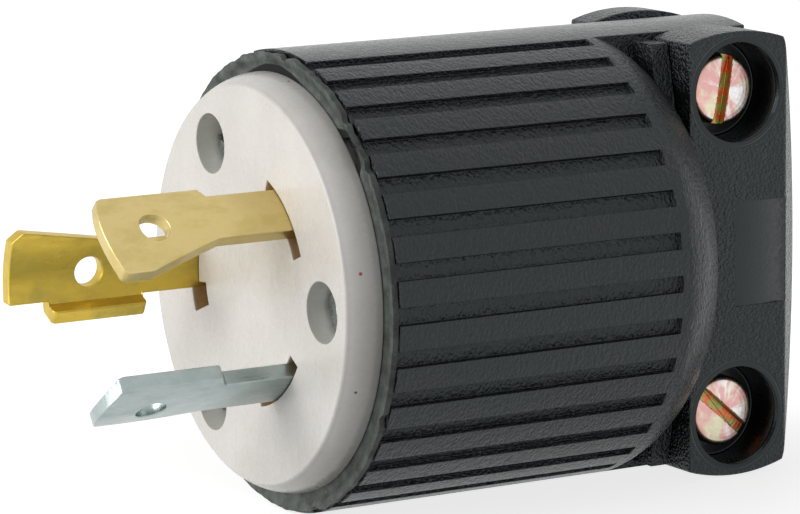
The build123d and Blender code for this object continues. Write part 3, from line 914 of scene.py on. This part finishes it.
@dataclass
class Shell:
    """Black moulding: fluted sleeve, domed shoulder, and lugs with stop ribs for the clamp."""

    cavity_straight_end: float = 36.75
    cavity_end: float = 43.2
    cavity_end_radius: float = 11.45
    cord_hole: float = 8.5
    flutes_round: int = 34
    flutes_a_side: int = 15
    steps_a_flute: int = 10
    steps_a_groove: int = 4
    flute_depth: float = 0.55
    flute_end: float = 36.9
    web_half: float = 5.3
    sunk: float = 0.01
    lug_inner: float = 10.5
    lug_end: float = 56.8
    rib_back: float = 44.8
    rib_thickness: float = 2.1
    rib_tip: float = 22.2
    rib_half_tip: float = 8.8
    rib_half_root: float = 11.2
    boss: float = 4.4
    boss_rib: float = 3.0
    insert: float = 2.9
    insert_room: float = 9.6
    edge: float = 0.07

    def blank(self) -> bpy.types.Object:
        """Spin the outside of the sleeve and its dome, and sink the flutes into it."""
        before = LAYOUT.shell_front - 1.0
        start = (LAYOUT.straight_end, LAYOUT.radius)
        dome = bulged(start, (LAYOUT.dome_end, LAYOUT.dome_end_radius), LAYOUT.dome_bulge, 16)
        section = [(before, 0), (before, LAYOUT.radius), (self.flute_end, LAYOUT.radius)]
        section += dome + [(LAYOUT.dome_end, 0)]
        steps = self.flutes_round * self.steps_a_flute
        obj = lathe("shell_moulding", section, steps)
        half_groove = 180.0 * self.steps_a_groove / steps
        floor = LAYOUT.radius - self.flute_depth
        with editing(obj):
            pick_faces(obj, lambda middle: self.in_flute(middle, half_groove))
            bpy.ops.mesh.extrude_region_move()
            for vert in edit_mesh(obj).verts:
                if vert.select:
                    vert.co.yz = vert.co.yz.normalized() * floor * MM
            bmesh.update_edit_mesh(obj.data)
        cut_through(obj, (LAYOUT.shell_front, 0, 0), (-1, 0, 0), True)
        return obj

    def in_flute(self, middle: Vector, half_groove: float) -> bool:
        """Say whether a face of the straight sleeve lies in one of the flutes."""
        if not middle.x < self.flute_end or middle.yz.length < LAYOUT.radius - 0.1:
            return False
        pitch = 360.0 / self.flutes_round
        from_side = math.degrees(math.atan2(middle.z, abs(middle.y)))
        number = round(from_side / pitch)
        return abs(number) <= self.flutes_a_side // 2 and abs(from_side - number * pitch) < half_groove

    def lugs(self) -> list[bpy.types.Object]:
        """Make the web and the stop rib of the top and of the bottom."""
        lean = math.degrees(math.asin(self.web_half / LAYOUT.radius))
        crown = [polar(LAYOUT.radius - self.sunk, 90 - lean + 2 * lean * step / 10) for step in range(11)]
        web = [(self.web_half, self.lug_inner)] + crown + [(-self.web_half, self.lug_inner)]
        rib = [
            (self.rib_half_root, self.lug_inner),
            (self.rib_half_tip, self.rib_tip),
            (-self.rib_half_tip, self.rib_tip),
            (-self.rib_half_root, self.lug_inner),
        ]
        parts = []
        for side in (1, -1):
            flipped_web = [(y, z * side) for y, z in web]
            flipped_rib = [(y, z * side) for y, z in rib]
            parts.append(plate("web", flipped_web, Facing.ALONG, self.flute_end, self.lug_end))
            parts.append(plate("rib", flipped_rib, Facing.ALONG, self.rib_back - self.rib_thickness, self.rib_back))
        return parts

    def hollows(self) -> list[bpy.types.Object]:
        """Make the cavity, the cord hole and the screw holes."""
        start = (self.cavity_straight_end, LAYOUT.bore)
        inner = bulged(start, (self.cavity_end, self.cavity_end_radius), LAYOUT.dome_bulge, 12)
        before = LAYOUT.shell_front - 1
        section = [(before, 0), (before, LAYOUT.bore)] + inner + [(self.cavity_end, 0)]
        tools = [lathe("cavity", section, 180)]
        tools.append(rod("cord_hole", self.cord_hole, (self.cavity_end - 1, 0, 0), (LAYOUT.dome_end + 1, 0, 0), 128))
        for side in (1, -1):
            z = side * LAYOUT.screw_z
            tools.append(rod("screw_hole", LAYOUT.screw_hole, (LAYOUT.screw_x, -8, z), (LAYOUT.screw_x, 8, z), 48))
        return tools

    def bosses(self) -> list[bpy.types.Object]:
        """Make the three bosses of the assembly screws, each tied to the wall by a rib."""
        parts = []
        far = (LAYOUT.bore + LAYOUT.radius) / 2
        half = self.boss_rib / 2
        for angle in LAYOUT.face_angles:
            y, z = polar(LAYOUT.face_circle, angle)
            boss = rod("boss", self.boss, (LAYOUT.boss_front, y, z), (LAYOUT.straight_end, y, z), 64)
            outwards = Vector(polar(1, angle))
            aside = Vector((-outwards.y, outwards.x))
            corners = ((LAYOUT.face_circle, -half), (far, -half), (far, half), (LAYOUT.face_circle, half))
            outline = [tuple(outwards * out + aside * side) for out, side in corners]
            combine(boss, [plate("tie", outline, Facing.ALONG, LAYOUT.boss_front, LAYOUT.straight_end)], Join.FUSE)
            end = LAYOUT.boss_front + self.insert_room
            combine(boss, [rod("bore", self.insert, (LAYOUT.boss_front - 1, y, z), (end, y, z), 48)], Join.CUT)
            parts.append(boss)
        return parts

    def build(self, finishes: Finishes) -> None:
        """Make the shell and dress it."""
        obj = self.blank()
        combine(obj, self.lugs(), Join.FUSE)
        combine(obj, self.hollows(), Join.CUT)
        combine(obj, self.bosses(), Join.FUSE)
        tidy(obj)
        soften(obj, self.edge)
        present(obj, finishes.sleeve, "shell")


@dataclass
class FaceBody:
    """Light insulator with the blade slots and the three screw wells."""

    flat: float = 20.0
    bead: float = 0.34
    flange: float = 21.3
    spigot: float = 20.8
    end: float = 11.0
    slot_inner: float = 10.5
    slot_outer: float = 12.2
    plain_slots: tuple[float, ...] = (135.0, 235.5)
    plain_half: float = 22.8
    ground_low: float = -21.0
    ground_high: float = 31.4
    hook_room: float = 1.5
    hook_span: float = 14.4
    well_radius: float = 3.05
    hole_radius: float = 2.05
    edge: float = 0.12

    @property
    def bead_end(self) -> Point:
        """Where the bead round the flat face ends and the crowned side starts."""
        return self.bead, self.flat + self.bead

    def build(self, finishes: Finishes) -> None:
        """Make the face body and dress it."""
        thickness = LAYOUT.seal_front
        bead = rounded((0, self.flat), (self.bead * 0.4, self.flat + self.bead * 0.6), self.bead_end, 4)
        side = rounded(self.bead_end, (thickness * 0.42, self.flange - 0.32), (thickness, self.flange), 14)
        section = [(0, 0)] + bead + side[1:] + [(thickness, self.spigot), (self.end, self.spigot), (self.end, 0)]
        obj = lathe("face_moulding", section, 256)
        tools = []
        for angle in self.plain_slots:
            outline = band(self.slot_inner, self.slot_outer, angle - self.plain_half, angle + self.plain_half)
            tools.append(plate("slot", outline, Facing.ALONG, -1, self.end + 1))
        ground = band(self.slot_inner, self.slot_outer, self.ground_low, self.ground_high)
        hook = band(self.slot_inner - self.hook_room, self.slot_outer, self.ground_low, self.ground_low + self.hook_span)
        tools.append(plate("ground_slot", ground, Facing.ALONG, -1, self.end + 1))
        tools.append(plate("hook_slot", hook, Facing.ALONG, -1, self.end + 1))
        for angle in LAYOUT.face_angles:
            y, z = polar(LAYOUT.face_circle, angle)
            tools.append(rod("well", self.well_radius, (-1, y, z), (LAYOUT.face_seat, y, z), 72))
            tools.append(rod("hole", self.hole_radius, (-1, y, z), (self.end + 1, y, z), 48))
        combine(obj, tools, Join.CUT)
        tidy(obj)
        soften(obj, self.edge, 3)
        present(obj, finishes.face, "face_body")


@dataclass
class DustSeal:
    """Thin lip between the face and the shell, ragged at its edge and torn near the top."""

    inner: float = 20.9
    outer: float = 23.3
    groove: float = 21.9
    groove_depth: float = 0.22
    lip_lean: float = 0.30
    ragged: float = 0.16
    nick: float = 0.45
    nick_half: float = 2.4
    nicks: tuple[float, ...] = (71, 96, 128, 143, 207, 252)
    tear_angle: float = 134.5
    tear_half: float = 6.5
    tear_inner: float = 22.75
    curl: float = 0.45
    steps: int = 720
    rows: int = 8

    def lip(self, angle: float) -> float:
        """Radius of the lip's ragged edge at an angle round the plug."""
        turn = math.radians(angle)
        worn = math.sin(17 * turn + 0.6) + 0.7 * math.sin(41 * turn + 2.1) + 0.5 * math.sin(97 * turn + 4.0)
        top = 0.35 + 0.65 * hump(angle, 95, 75) + 0.5 * hump(angle, 255, 45)
        bites = sum(self.nick * hump(angle, nick, self.nick_half) for nick in self.nicks)
        return self.outer - self.ragged * top * (0.6 + 0.4 * worn) - bites

    def shaped(self, point: Vector) -> Vector:
        """Carry a point of the plain ring to the worn seal.

        Args:
            point: A point of the plain ring, in millimetres.

        Returns:
            Its place on the worn seal.
        """
        radius = point.yz.length
        angle = math.degrees(math.atan2(point.z, point.y)) % 360
        share = (radius - self.inner) / (self.outer - self.inner)
        torn = hump(angle, self.tear_angle, self.tear_half)
        inner = self.inner + (self.tear_inner - self.inner) * torn
        new = inner + (self.lip(angle) - inner) * share
        front = point.x < (LAYOUT.seal_front + LAYOUT.shell_front) / 2
        leaning = self.lip_lean * (0.35 + 0.65 * hump(angle, 85, 80)) + self.curl * torn
        x = point.x
        if front:
            x += self.groove_depth * hump(new, self.groove, 0.8)
        x -= leaning * max(share - 0.45, 0) / 0.55 * (1.0 if front else 0.8)
        return Vector((x, point.y / radius * new, point.z / radius * new))

    def build(self, finishes: Finishes) -> None:
        """Make the seal and dress it."""
        radii = [self.inner + (self.outer - self.inner) * row / self.rows for row in range(self.rows + 1)]
        up = [(LAYOUT.seal_front, radius) for radius in radii]
        down = [(LAYOUT.shell_front, radius) for radius in reversed(radii)]
        obj = lathe("seal_lip", up + down, self.steps, ring=True)
        reshape(obj, self.shaped)
        soften(obj, 0.0)
        present(obj, finishes.rubber, "dust_seal")


@dataclass
class Blade:
    """Stamped strip, curved round the plug's axis, with its flat terminal tab behind the face."""

    name: str
    node: str
    slot: str
    angle: float
    outline: list[Point]
    hole: Point
    crease: float | None = None
    hole_radius: float = 1.55
    outer: float = 12.1
    stock: float = 1.5
    tab_start: float = 11.05
    terminal_x: float = 18.5
    terminal_hole: float = 2.2
    flap_bend: float = 50.0
    row: float = 0.6
    edge: float = 0.15

    def wrapped(self, point: Vector) -> Vector:
        """Carry a point of the flat strip, in millimetres, to its place on the curved blade.

        Args:
            point: Place along the plug, height in the stock, and place across the strip.

        Returns:
            The place in the model, in millimetres.
        """
        x, height, across = point
        radius = self.outer - self.stock + height
        if x >= self.tab_start - 0.01:
            out, side = radius, across
        elif self.crease is not None and across > self.crease - 0.01:
            out, side = self.folded(height, across)
        else:
            out, side = math.sqrt(radius * radius - across * across), across
        turn = math.radians(self.angle)
        outwards = Vector((0, math.cos(turn), math.sin(turn)))
        sideways = Vector((0, math.sin(turn), -math.cos(turn)))
        return Vector((x, 0, 0)) + outwards * out + sideways * side

    def folded(self, height: float, across: float) -> Point:
        """Place (out, side) of a point on the flap, which is folded in along the crease."""
        lean = math.asin(self.crease / self.outer) + math.radians(self.flap_bend)
        along = Vector((-math.sin(lean), math.cos(lean)))
        inwards = Vector((-math.cos(lean), -math.sin(lean)))
        corner = Vector((math.sqrt(self.outer**2 - self.crease**2), self.crease))
        depth = self.stock - height
        least = depth * math.tan(math.radians(self.flap_bend / 2))
        place = corner + along * max(across - self.crease, least) + inwards * depth
        return place.x, place.y

    def build(self, material: bpy.types.Material) -> None:
        """Make the blade and dress it."""
        obj = plate(self.name, self.outline, Facing.ACROSS, 0, self.stock)
        holes = [
            rod("hole", self.hole_radius, (self.hole[0], -1, self.hole[1]), (self.hole[0], 3, self.hole[1]), 48),
            rod("terminal", self.terminal_hole, (self.terminal_x, -1, 0), (self.terminal_x, 3, 0), 48),
        ]
        combine(obj, holes, Join.CUT)
        reach = math.ceil(6 / self.row)
        for number in range(-reach, reach + 1):
            if self.crease is None or abs(number * self.row - self.crease) > 0.8:
                cut_through(obj, (0, 0, number * self.row), (0, 0, 1), False)
        if self.crease is not None:
            cut_through(obj, (0, 0, self.crease), (0, 0, 1), False)
        cut_through(obj, (self.tab_start - 0.15, 0, 0), (1, 0, 0), False)
        cut_through(obj, (self.tab_start, 0, 0), (1, 0, 0), False)
        reshape(obj, self.wrapped)
        with editing(obj):
            face_outwards(obj)
        tidy(obj)
        soften(obj, self.edge, 3, 34)
        present(obj, material, self.node)


def plain_outline(half: float) -> list[Point]:
    """Outline of the line or the neutral blade, with its shoulder, its flare and its terminal tab.

    Args:
        half: Half of the width of its head.

    Returns:
        Points along the plug and across the strip.
    """
    reach, bulge, corner, nip = 19.2, 0.8, 0.8, 0.25
    neck_high, neck_low, shoulder, flare_end = 3.3, 2.0, -7.9, -15.8
    tab_start, tab_end, tab_half = 11.05, 25.0, 5.3
    tip = rounded((-reach + 0.05, -half + corner), (-reach - bulge, 0), (-reach + 0.05, half - corner), 10)
    return [(-reach + corner, -half), (-reach + nip, -half + nip)] + tip + [
        (-reach + nip, half - nip),
        (-reach + corner, half),
        (shoulder, half),
        (shoulder + 0.5, neck_high),
        (tab_start, neck_high),
        (tab_start, tab_half),
        (tab_end, tab_half),
        (tab_end, -tab_half),
        (tab_start, -tab_half),
        (tab_start, -neck_low),
        (shoulder, -neck_low),
        (flare_end, -half),
    ]


def ground_outline() -> list[Point]:
    """Outline of the ground blade, laid flat, with the flap beyond its crease."""
    reach, half, chamfer, flap_front, flap_edge, nip = 21.3, 5.0, 1.0, -17.0, 6.2, 0.3
    neck_top, neck_low, front_low, shoulder = 2.6, 2.8, 2.65, -6.5
    tab_start, tab_end, tab_half = 11.05, 25.0, 5.3
    return [
        (-reach, -half + chamfer),
        (-reach + chamfer, -half),
        (-reach + 1.3, -half),
        (shoulder, -neck_top),
        (tab_start, -neck_top),
        (tab_start, -tab_half),
        (tab_end, -tab_half),
        (tab_end, tab_half),
        (tab_start, tab_half),
        (tab_start, neck_low),
        (shoulder, neck_low),
        (shoulder, flap_edge - nip),
        (shoulder - nip, flap_edge),
        (flap_front + nip, flap_edge),
        (flap_front, flap_edge - nip),
        (flap_front, front_low),
        (-reach, front_low),
    ]


@dataclass
class Screw:
    """Slotted pan head screw, made along X and then put in its place."""

    head_radius: float
    head_height: float
    shank: float
    length: float
    threaded: float
    pitch: float
    rounding: float = 0.6
    crown: float = 0.12
    slot_width: float = 1.3
    slot_depth: float = 1.0
    thread_depth: float = 0.30

    def thread(self, point: Vector) -> Vector:
        """Press the thread's groove into a point of the plain shank."""
        radius = point.yz.length
        end = -self.length
        if radius < self.shank * 0.9 or not end < point.x < end + self.threaded:
            return point
        turn = math.atan2(point.z, point.y) / math.tau
        wave = 0.5 + 0.5 * math.cos(math.tau * (point.x / self.pitch - turn))
        runout = min((end + self.threaded - point.x) / self.pitch, 1.0)
        scale = 1 - self.thread_depth * wave * runout / radius
        return Vector((point.x, point.y * scale, point.z * scale))

    def make(self, name: str) -> bpy.types.Object:
        """Make the screw with its seat at the origin and its head towards +X.

        Args:
            name: The object's name.

        Returns:
            The screw.
        """
        corner = self.rounding * (1 - math.sqrt(0.5))
        rim = self.head_height - self.crown
        edge = rounded(
            (rim - self.rounding, self.head_radius),
            (rim - corner, self.head_radius - corner),
            (rim, self.head_radius - self.rounding),
            6,
        )
        top = bulged(edge[-1], (self.head_height, 0), self.crown / 3, 6)
        end = -self.length
        rows = round(self.threaded / self.pitch * 6)
        shank = [(end + 0.5 + (self.threaded - 0.5) * row / rows, self.shank) for row in range(rows + 1)]
        section = [(end, 0), (end, self.shank - 0.5)] + shank + [(0, self.shank), (0, self.head_radius)]
        obj = lathe(name, section + edge + top[1:], 72)
        reshape(obj, self.thread)
        half = self.slot_width / 2
        reach = self.head_radius + 1
        low = (self.head_height - self.slot_depth, -reach, -half)
        combine(obj, [box("slot", low, (self.head_height + 1, reach, half))], Join.CUT)
        tidy(obj)
        soften(obj, 0.08, 2, 40)
        return obj


@dataclass
class ClampHardware:
    """The two clamp screws and their nuts."""

    nut_flats: float = 8.7
    nut_height: float = 3.2
    thread_gap: float = 0.04
    chamfer: float = 1.7
    shank: float = 2.08
    turns: dict[str, float] = field(default_factory=lambda: {"upper": 80.0, "lower": -41.0})

    def nut(self) -> bpy.types.Object:
        """Make a nut with its seat at the origin and its outer side towards +Y."""
        height = self.nut_height
        nut = rod("nut", self.nut_flats / math.sqrt(3), (0, 0, 0), (0, height, 0), 6)
        over = 1.0
        narrow = self.nut_flats / 2 - 0.1 - over * self.chamfer
        wide = narrow + (height + 2 * over) * self.chamfer
        for first, last in ((narrow, wide), (wide, narrow)):
            cone = rod("cone", first, (0, -over, 0), (0, height + over, 0), 72, last)
            combine(nut, [cone], Join.KEEP_SHARED)
        combine(nut, [rod("bore", self.shank + self.thread_gap, (0, -1, 0), (0, height + 1, 0), 48)], Join.CUT)
        tidy(nut)
        soften(nut, 0.08)
        return nut

    def build(self, finishes: Finishes) -> None:
        """Make one screw and one nut, copy them, and dress all."""
        pattern = Screw(3.7, LAYOUT.head_height, self.shank, 19.8, 13.0, 0.8).make("clamp_screw_pattern")
        nut_pattern = self.nut()
        for place, side in (("upper", 1), ("lower", -1)):
            zinc = finishes.passivated("yellow_zinc_" + place, side)
            to_near = Matrix.Rotation(math.radians(-90), 4, "Z")
            twist = Matrix.Rotation(math.radians(-self.turns[place]), 4, "Y")
            move = Matrix.Translation(Vector((LAYOUT.screw_x, -LAYOUT.clamp_seat, side * LAYOUT.screw_z)) * MM)
            screw = copy_of(pattern, place + "_clamp_screw", move @ twist @ to_near)
            present(screw, zinc, "clamp_screw_" + place)
            move = Matrix.Translation(Vector((LAYOUT.screw_x, LAYOUT.nut_seat, side * LAYOUT.screw_z)) * MM)
            nut = copy_of(nut_pattern, place + "_clamp_nut", move)
            present(nut, zinc, "clamp_nut_" + place)
        for used in (pattern, nut_pattern):
            bpy.data.objects.remove(used, do_unlink=True)


@dataclass
class AssemblyScrews:
    """The three screws deep in the wells of the face."""

    turns: tuple[float, ...] = (20.0, 75.0, 130.0)

    def build(self, finishes: Finishes) -> None:
        """Make one screw, copy it, and dress all."""
        pattern = Screw(2.75, 1.8, 1.75, 29.0, 10.0, 0.7, rounding=0.5, slot_width=0.96).make("face_screw_pattern")
        for number, (angle, turn) in enumerate(zip(LAYOUT.face_angles, self.turns), 1):
            y, z = polar(LAYOUT.face_circle, angle)
            about = Matrix.Rotation(math.radians(180), 4, "Z")
            twist = Matrix.Rotation(math.radians(turn), 4, "X")
            move = Matrix.Translation(Vector((LAYOUT.face_seat, y, z)) * MM)
            screw = copy_of(pattern, "face_screw_" + str(number), move @ twist @ about)
            present(screw, finishes.zinc, "assembly_screw_" + str(number))
        bpy.data.objects.remove(pattern, do_unlink=True)


@dataclass
class ClampJaws:
    """The two bars that close on the cord, made from one pattern."""

    seat: float = 5.5
    front: float = 45.0
    back: float = 57.0
    back_corner: float = 56.8
    corner: float = 22.4
    crown: float = 23.35
    bulge: float = 3.4
    bevel_depth: float = 2.7
    tongue_half: float = 9.3
    tongue_face: float = 3.0
    tongue_back: float = 59.6
    dome_gap: float = 0.2
    grip: float = 4.6
    groove: float = 5.3
    groove_width: float = 1.4
    groove_pitch: float = 3.0
    grooves: int = 3
    far_gap: float = 0.45
    far_lift: float = 0.4
    counterbore: float = 5.0
    rim: float = 0.4
    nut_room: float = 9.0
    pad_front: float = 50.65
    pad_half: float = 5.5
    pad_depth: float = 0.15
    edge: float = 0.18

    @property
    def tongue_front(self) -> float:
        """Where the tongue starts, just behind the shell."""
        return LAYOUT.dome_end + self.dome_gap

    def blank(self, name: str, face: float, lift: float) -> bpy.types.Object:
        """Make what both jaws share, on the side of the clamp screws' heads.

        Args:
            name: The object's name.
            face: Distance of the outer face from the middle.
            lift: How far the ears are raised.

        Returns:
            The blank.
        """
        z = self.corner
        outline = (
            rounded((self.front, z), (LAYOUT.screw_x, self.crown), (self.back_corner, z), 14)
            + rounded((self.back_corner, z), (self.back + self.bulge, 0), (self.back_corner, -z), 32)[1:]
            + rounded((self.back_corner, -z), (LAYOUT.screw_x, -self.crown), (self.front, -z), 14)[1:]
        )
        raised = [(u, v + lift) for u, v in outline]
        obj = plate(name, raised, Facing.ACROSS, -self.seat, -face)
        cut_through(obj, (self.back, -face, 0), (self.bevel_depth, -self.bulge, 0), True)
        half = self.tongue_half
        back = rounded((self.back_corner, half), (self.tongue_back, 0), (self.back_corner, -half), 18)
        tongue = [(self.tongue_front, half)] + back + [(self.tongue_front, -half)]
        combine(obj, [plate("tongue", tongue, Facing.ACROSS, -self.tongue_face, -self.seat - 0.5)], Join.FUSE)
        combine(obj, self.shared_cuts(), Join.CUT)
        return obj

    def shared_cuts(self) -> list[bpy.types.Object]:
        """Make the dome's room, the grip with its grooves, and the screw holes."""
        gap = self.dome_gap
        start = (LAYOUT.straight_end, LAYOUT.radius + gap)
        dome = bulged(start, (LAYOUT.dome_end + gap, LAYOUT.dome_end_radius + gap), LAYOUT.dome_bulge, 16)
        front = (LAYOUT.shell_front, LAYOUT.radius + gap)
        section = [(LAYOUT.shell_front, 0), front] + dome + [(LAYOUT.dome_end + gap, 0)]
        tools = [lathe("dome", section, 180)]
        tools.append(rod("grip", self.grip, (40, 0, 0), (70, 0, 0), 72))
        for step in range(self.grooves):
            start = self.tongue_front + (step + 0.5) * self.groove_pitch
            tools.append(rod("groove", self.groove, (start, 0, 0), (start + self.groove_width, 0, 0), 72))
        for side in (1, -1):
            z = side * LAYOUT.screw_z
            tools.append(rod("hole", LAYOUT.screw_hole, (LAYOUT.screw_x, 0, z), (LAYOUT.screw_x, -20, z), 48))
        return tools

    def near(self, finishes: Finishes) -> None:
        """Make the near jaw, with counterbores for the heads and a bare pad, and dress it."""
        obj = self.blank("near_jaw", LAYOUT.jaw_face, 0.0)
        tools = []
        for side in (1, -1):
            floor = (LAYOUT.screw_x, -LAYOUT.clamp_seat, side * LAYOUT.screw_z)
            mouth = (LAYOUT.screw_x, -LAYOUT.jaw_face, side * LAYOUT.screw_z)
            outside = (LAYOUT.screw_x, -LAYOUT.jaw_face - 2, side * LAYOUT.screw_z)
            inside = (LAYOUT.screw_x, -LAYOUT.jaw_face + self.rim, side * LAYOUT.screw_z)
            tools.append(rod("counterbore", self.counterbore, floor, outside, 96))
            tools.append(rod("rim", self.counterbore, inside, mouth, 96, self.counterbore + self.rim))
        combine(obj, tools, Join.CUT)
        tidy(obj)
        soften(obj, self.edge, 2, 28)
        low = (self.pad_front, -20, -self.pad_half)
        high = (self.back + 2, -LAYOUT.jaw_face + self.pad_depth, self.pad_half)
        combine(obj, [box("pad", low, high)], Join.CUT)
        soften(obj, 0.0)
        present(obj, finishes.clamp, "clamp_jaw_near")

    def far(self, finishes: Finishes) -> None:
        """Make the far jaw, with pockets for the nuts, and dress it."""
        blank = self.blank("far_jaw_blank", LAYOUT.far_face, self.far_lift)
        obj = copy_of(blank, "far_jaw", Matrix.Scale(-1, 4, (0, 1, 0)))
        bpy.data.objects.remove(blank, do_unlink=True)
        tools = []
        for side in (1, -1):
            z = side * LAYOUT.screw_z
            start, end = (LAYOUT.screw_x, LAYOUT.nut_seat, z), (LAYOUT.screw_x, 20, z)
            tools.append(rod("pocket", self.nut_room / math.sqrt(3), start, end, 6))
            low = (40, self.seat - 1, self.tongue_half if side > 0 else -30)
            high = (70, self.seat + self.far_gap, 30 if side > 0 else -self.tongue_half)
            tools.append(box("ear_gap", low, high))
        combine(obj, tools, Join.CUT)
        tidy(obj)
        soften(obj, self.edge, 2, 28)
        present(obj, finishes.clamp, "clamp_jaw_far")

    def build(self, finishes: Finishes) -> None:
        """Make both jaws."""
        self.near(finishes)
        self.far(finishes)


@dataclass
class InsideParts:
    """CAD nodes that keep their shape and get a better finish."""

    def build(self, nodes: dict[str, bpy.types.Object], finishes: Finishes) -> None:
        """Dress the carried-over nodes.

        Args:
            nodes: The CAD nodes by name.
            finishes: The plug's finishes.
        """
        dressing = {
            "terminal_block": finishes.dark,
            "terminal_screw_line": finishes.brass,
            "terminal_screw_neutral": finishes.zinc,
            "terminal_screw_ground": finishes.green,
        }
        for name in sorted(nodes):
            material = dressing.get(name)
            if name.startswith(("terminal_clamp_", "threaded_insert_")):
                material = finishes.brass
            if material is None:
                continue
            nodes[name].data.materials.clear()
            nodes[name].data.materials.append(material)
            LOG.info("%s: CAD shape, dressed", name)


# The studio


@dataclass
class Studio:
    """Floor, light and camera."""

    floor_z: float = -23.5
    camera_place: tuple[float, float, float] = (-191.258445, -361.304353, 74.129015)
    azimuth: float = -30.0534
    elevation: float = 9.912
    roll: float = -0.654
    focal_pixels: float = 4141.95
    sensor: float = 36.0
    soft_light: float = 0.13

    def camera(self) -> None:
        """Set the camera where the photograph's stood."""
        turn, lift, tilt = (math.radians(value) for value in (self.azimuth, self.elevation, self.roll))
        back = Vector((math.sin(turn) * math.cos(lift), -math.cos(turn) * math.cos(lift), math.sin(lift)))
        right = Vector((math.cos(turn), math.sin(turn), 0))
        up = back.cross(right)
        across = right * math.cos(tilt) + up * math.sin(tilt)
        upright = up * math.cos(tilt) - right * math.sin(tilt)
        data = bpy.data.cameras.new("camera")
        data.sensor_width = self.sensor
        data.lens = self.focal_pixels * self.sensor / PHOTO_WIDTH
        data.clip_start = 0.01
        data.clip_end = 20
        obj = bpy.data.objects.new("camera", data)
        bpy.context.scene.collection.objects.link(obj)
        turned = Matrix((across, upright, back)).transposed().to_4x4()
        obj.matrix_world = Matrix.Translation(Vector(self.camera_place) * MM) @ turned
        bpy.context.scene.camera = obj

    def floor(self) -> None:
        """Lay the pale floor, white to the camera and in reflections but for the plug's shadow, which is partly real
        and partly painted shade.
        """
        clear_selection()
        bpy.ops.mesh.primitive_plane_add(size=6, location=(0, 0, self.floor_z * MM - 0.00002))
        obj = bpy.context.object
        obj.name = "floor"
        sheet = Sheet("pale_floor")
        sheet.shader.inputs["Base Color"].default_value = (0.55, 0.55, 0.55, 1)
        sheet.shader.inputs["Roughness"].default_value = 0.9
        sheet.shader.inputs["Specular IOR Level"].default_value = 0.0
        path = sheet.add("ShaderNodeLightPath")
        seen = sheet.count("MAXIMUM", path.outputs["Is Camera Ray"], path.outputs["Is Transmission Ray"])
        seen = sheet.count("MAXIMUM", seen, path.outputs["Is Glossy Ray"])
        # Painted shade: the floor's white glow is dimmed to 78% within 35 mm of the plug's middle, back to full at 80
        # mm.
        x, y, _ = sheet.parts(sheet.millimetres(centre=(20, 0, 0)))
        glow_with_painted_shade = sheet.count("MULTIPLY", seen, sheet.span(sheet.length(x, y), 35, 80, 0.78, 1.0))
        sheet.shader.inputs["Emission Color"].default_value = (1, 1, 1, 1)
        sheet.feed(glow_with_painted_shade, sheet.shader.inputs["Emission Strength"])
        obj.data.materials.append(sheet.material)

    def world(self) -> None:
        """Light all round, with a white backdrop for the camera, for reflections and through glass."""
        world = bpy.data.worlds.new("studio")
        bpy.context.scene.world = world
        world.use_nodes = True
        tree = world.node_tree
        tree.nodes.clear()
        path = tree.nodes.new("ShaderNodeLightPath")
        shaders = []
        for strength in (self.soft_light, 1.0):
            shader = tree.nodes.new("ShaderNodeBackground")
            shader.inputs["Color"].default_value = (1, 1, 1, 1)
            shader.inputs["Strength"].default_value = strength
            shaders.append(shader.outputs[0])
        seen = path.outputs["Is Camera Ray"]
        for ray in ("Is Glossy Ray", "Is Transmission Ray"):
            either = tree.nodes.new("ShaderNodeMath")
            either.operation = "MAXIMUM"
            tree.links.new(seen, either.inputs[0])
            tree.links.new(path.outputs[ray], either.inputs[1])
            seen = either.outputs[0]
        mix = tree.nodes.new("ShaderNodeMixShader")
        tree.links.new(seen, mix.inputs["Fac"])
        for socket, shader in zip((mix.inputs[1], mix.inputs[2]), shaders):
            tree.links.new(shader, socket)
        output = tree.nodes.new("ShaderNodeOutputWorld")
        tree.links.new(mix.outputs[0], output.inputs["Surface"])

    def lamp(self, name: str, place: Sequence[float], size: float, power: float) -> None:
        """Hang a soft lamp that faces the plug.

        Args:
            name: The lamp's name.
            place: Where it hangs, in millimetres.
            size: Width of its square panel, in millimetres.
            power: Its power, in watts.
        """
        data = bpy.data.lights.new(name, "AREA")
        data.size = size * MM
        data.energy = power
        obj = bpy.data.objects.new(name, data)
        bpy.context.scene.collection.objects.link(obj)
        place_m = Vector(place) * MM
        aim = Vector((20, 0, 0)) * MM - place_m
        obj.matrix_world = Matrix.Translation(place_m) @ aim.to_track_quat("-Z", "Y").to_matrix().to_4x4()

    def build(self) -> None:
        """Set up the whole studio."""
        self.camera()
        self.floor()
        self.world()
        self.lamp("left_key", (-510, 60, 160), 500, 3.2)
        bpy.context.scene.view_settings.view_transform = "Standard"


def main() -> None:
    """Build the plug's looks piece by piece."""
    logging.basicConfig(level=logging.INFO, format="%(message)s")
    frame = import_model()
    finishes = Finishes()
    FaceBody().build(finishes)
    DustSeal().build(finishes)
    Shell().build(finishes)
    line = Blade("line_blade", "blade_line", "blade_brass", 135.0, plain_outline(4.5), (-14.4, 0))
    line.build(finishes.brass)
    neutral = Blade("neutral_blade", "blade_neutral", "blade_plated", 235.5, plain_outline(4.2), (-14.4, 0))
    neutral.build(finishes.plated)
    ground = Blade("ground_blade", "blade_ground", "blade_brass", 6.0, ground_outline(), (-12.4, 0), crease=4.0)
    ground.build(finishes.ground)
    ClampJaws().build(finishes)
    ClampHardware().build(finishes)
    AssemblyScrews().build(finishes)
    InsideParts().build(frame["nodes"], finishes)
    Studio().build()


if __name__ == "__main__":
    main()
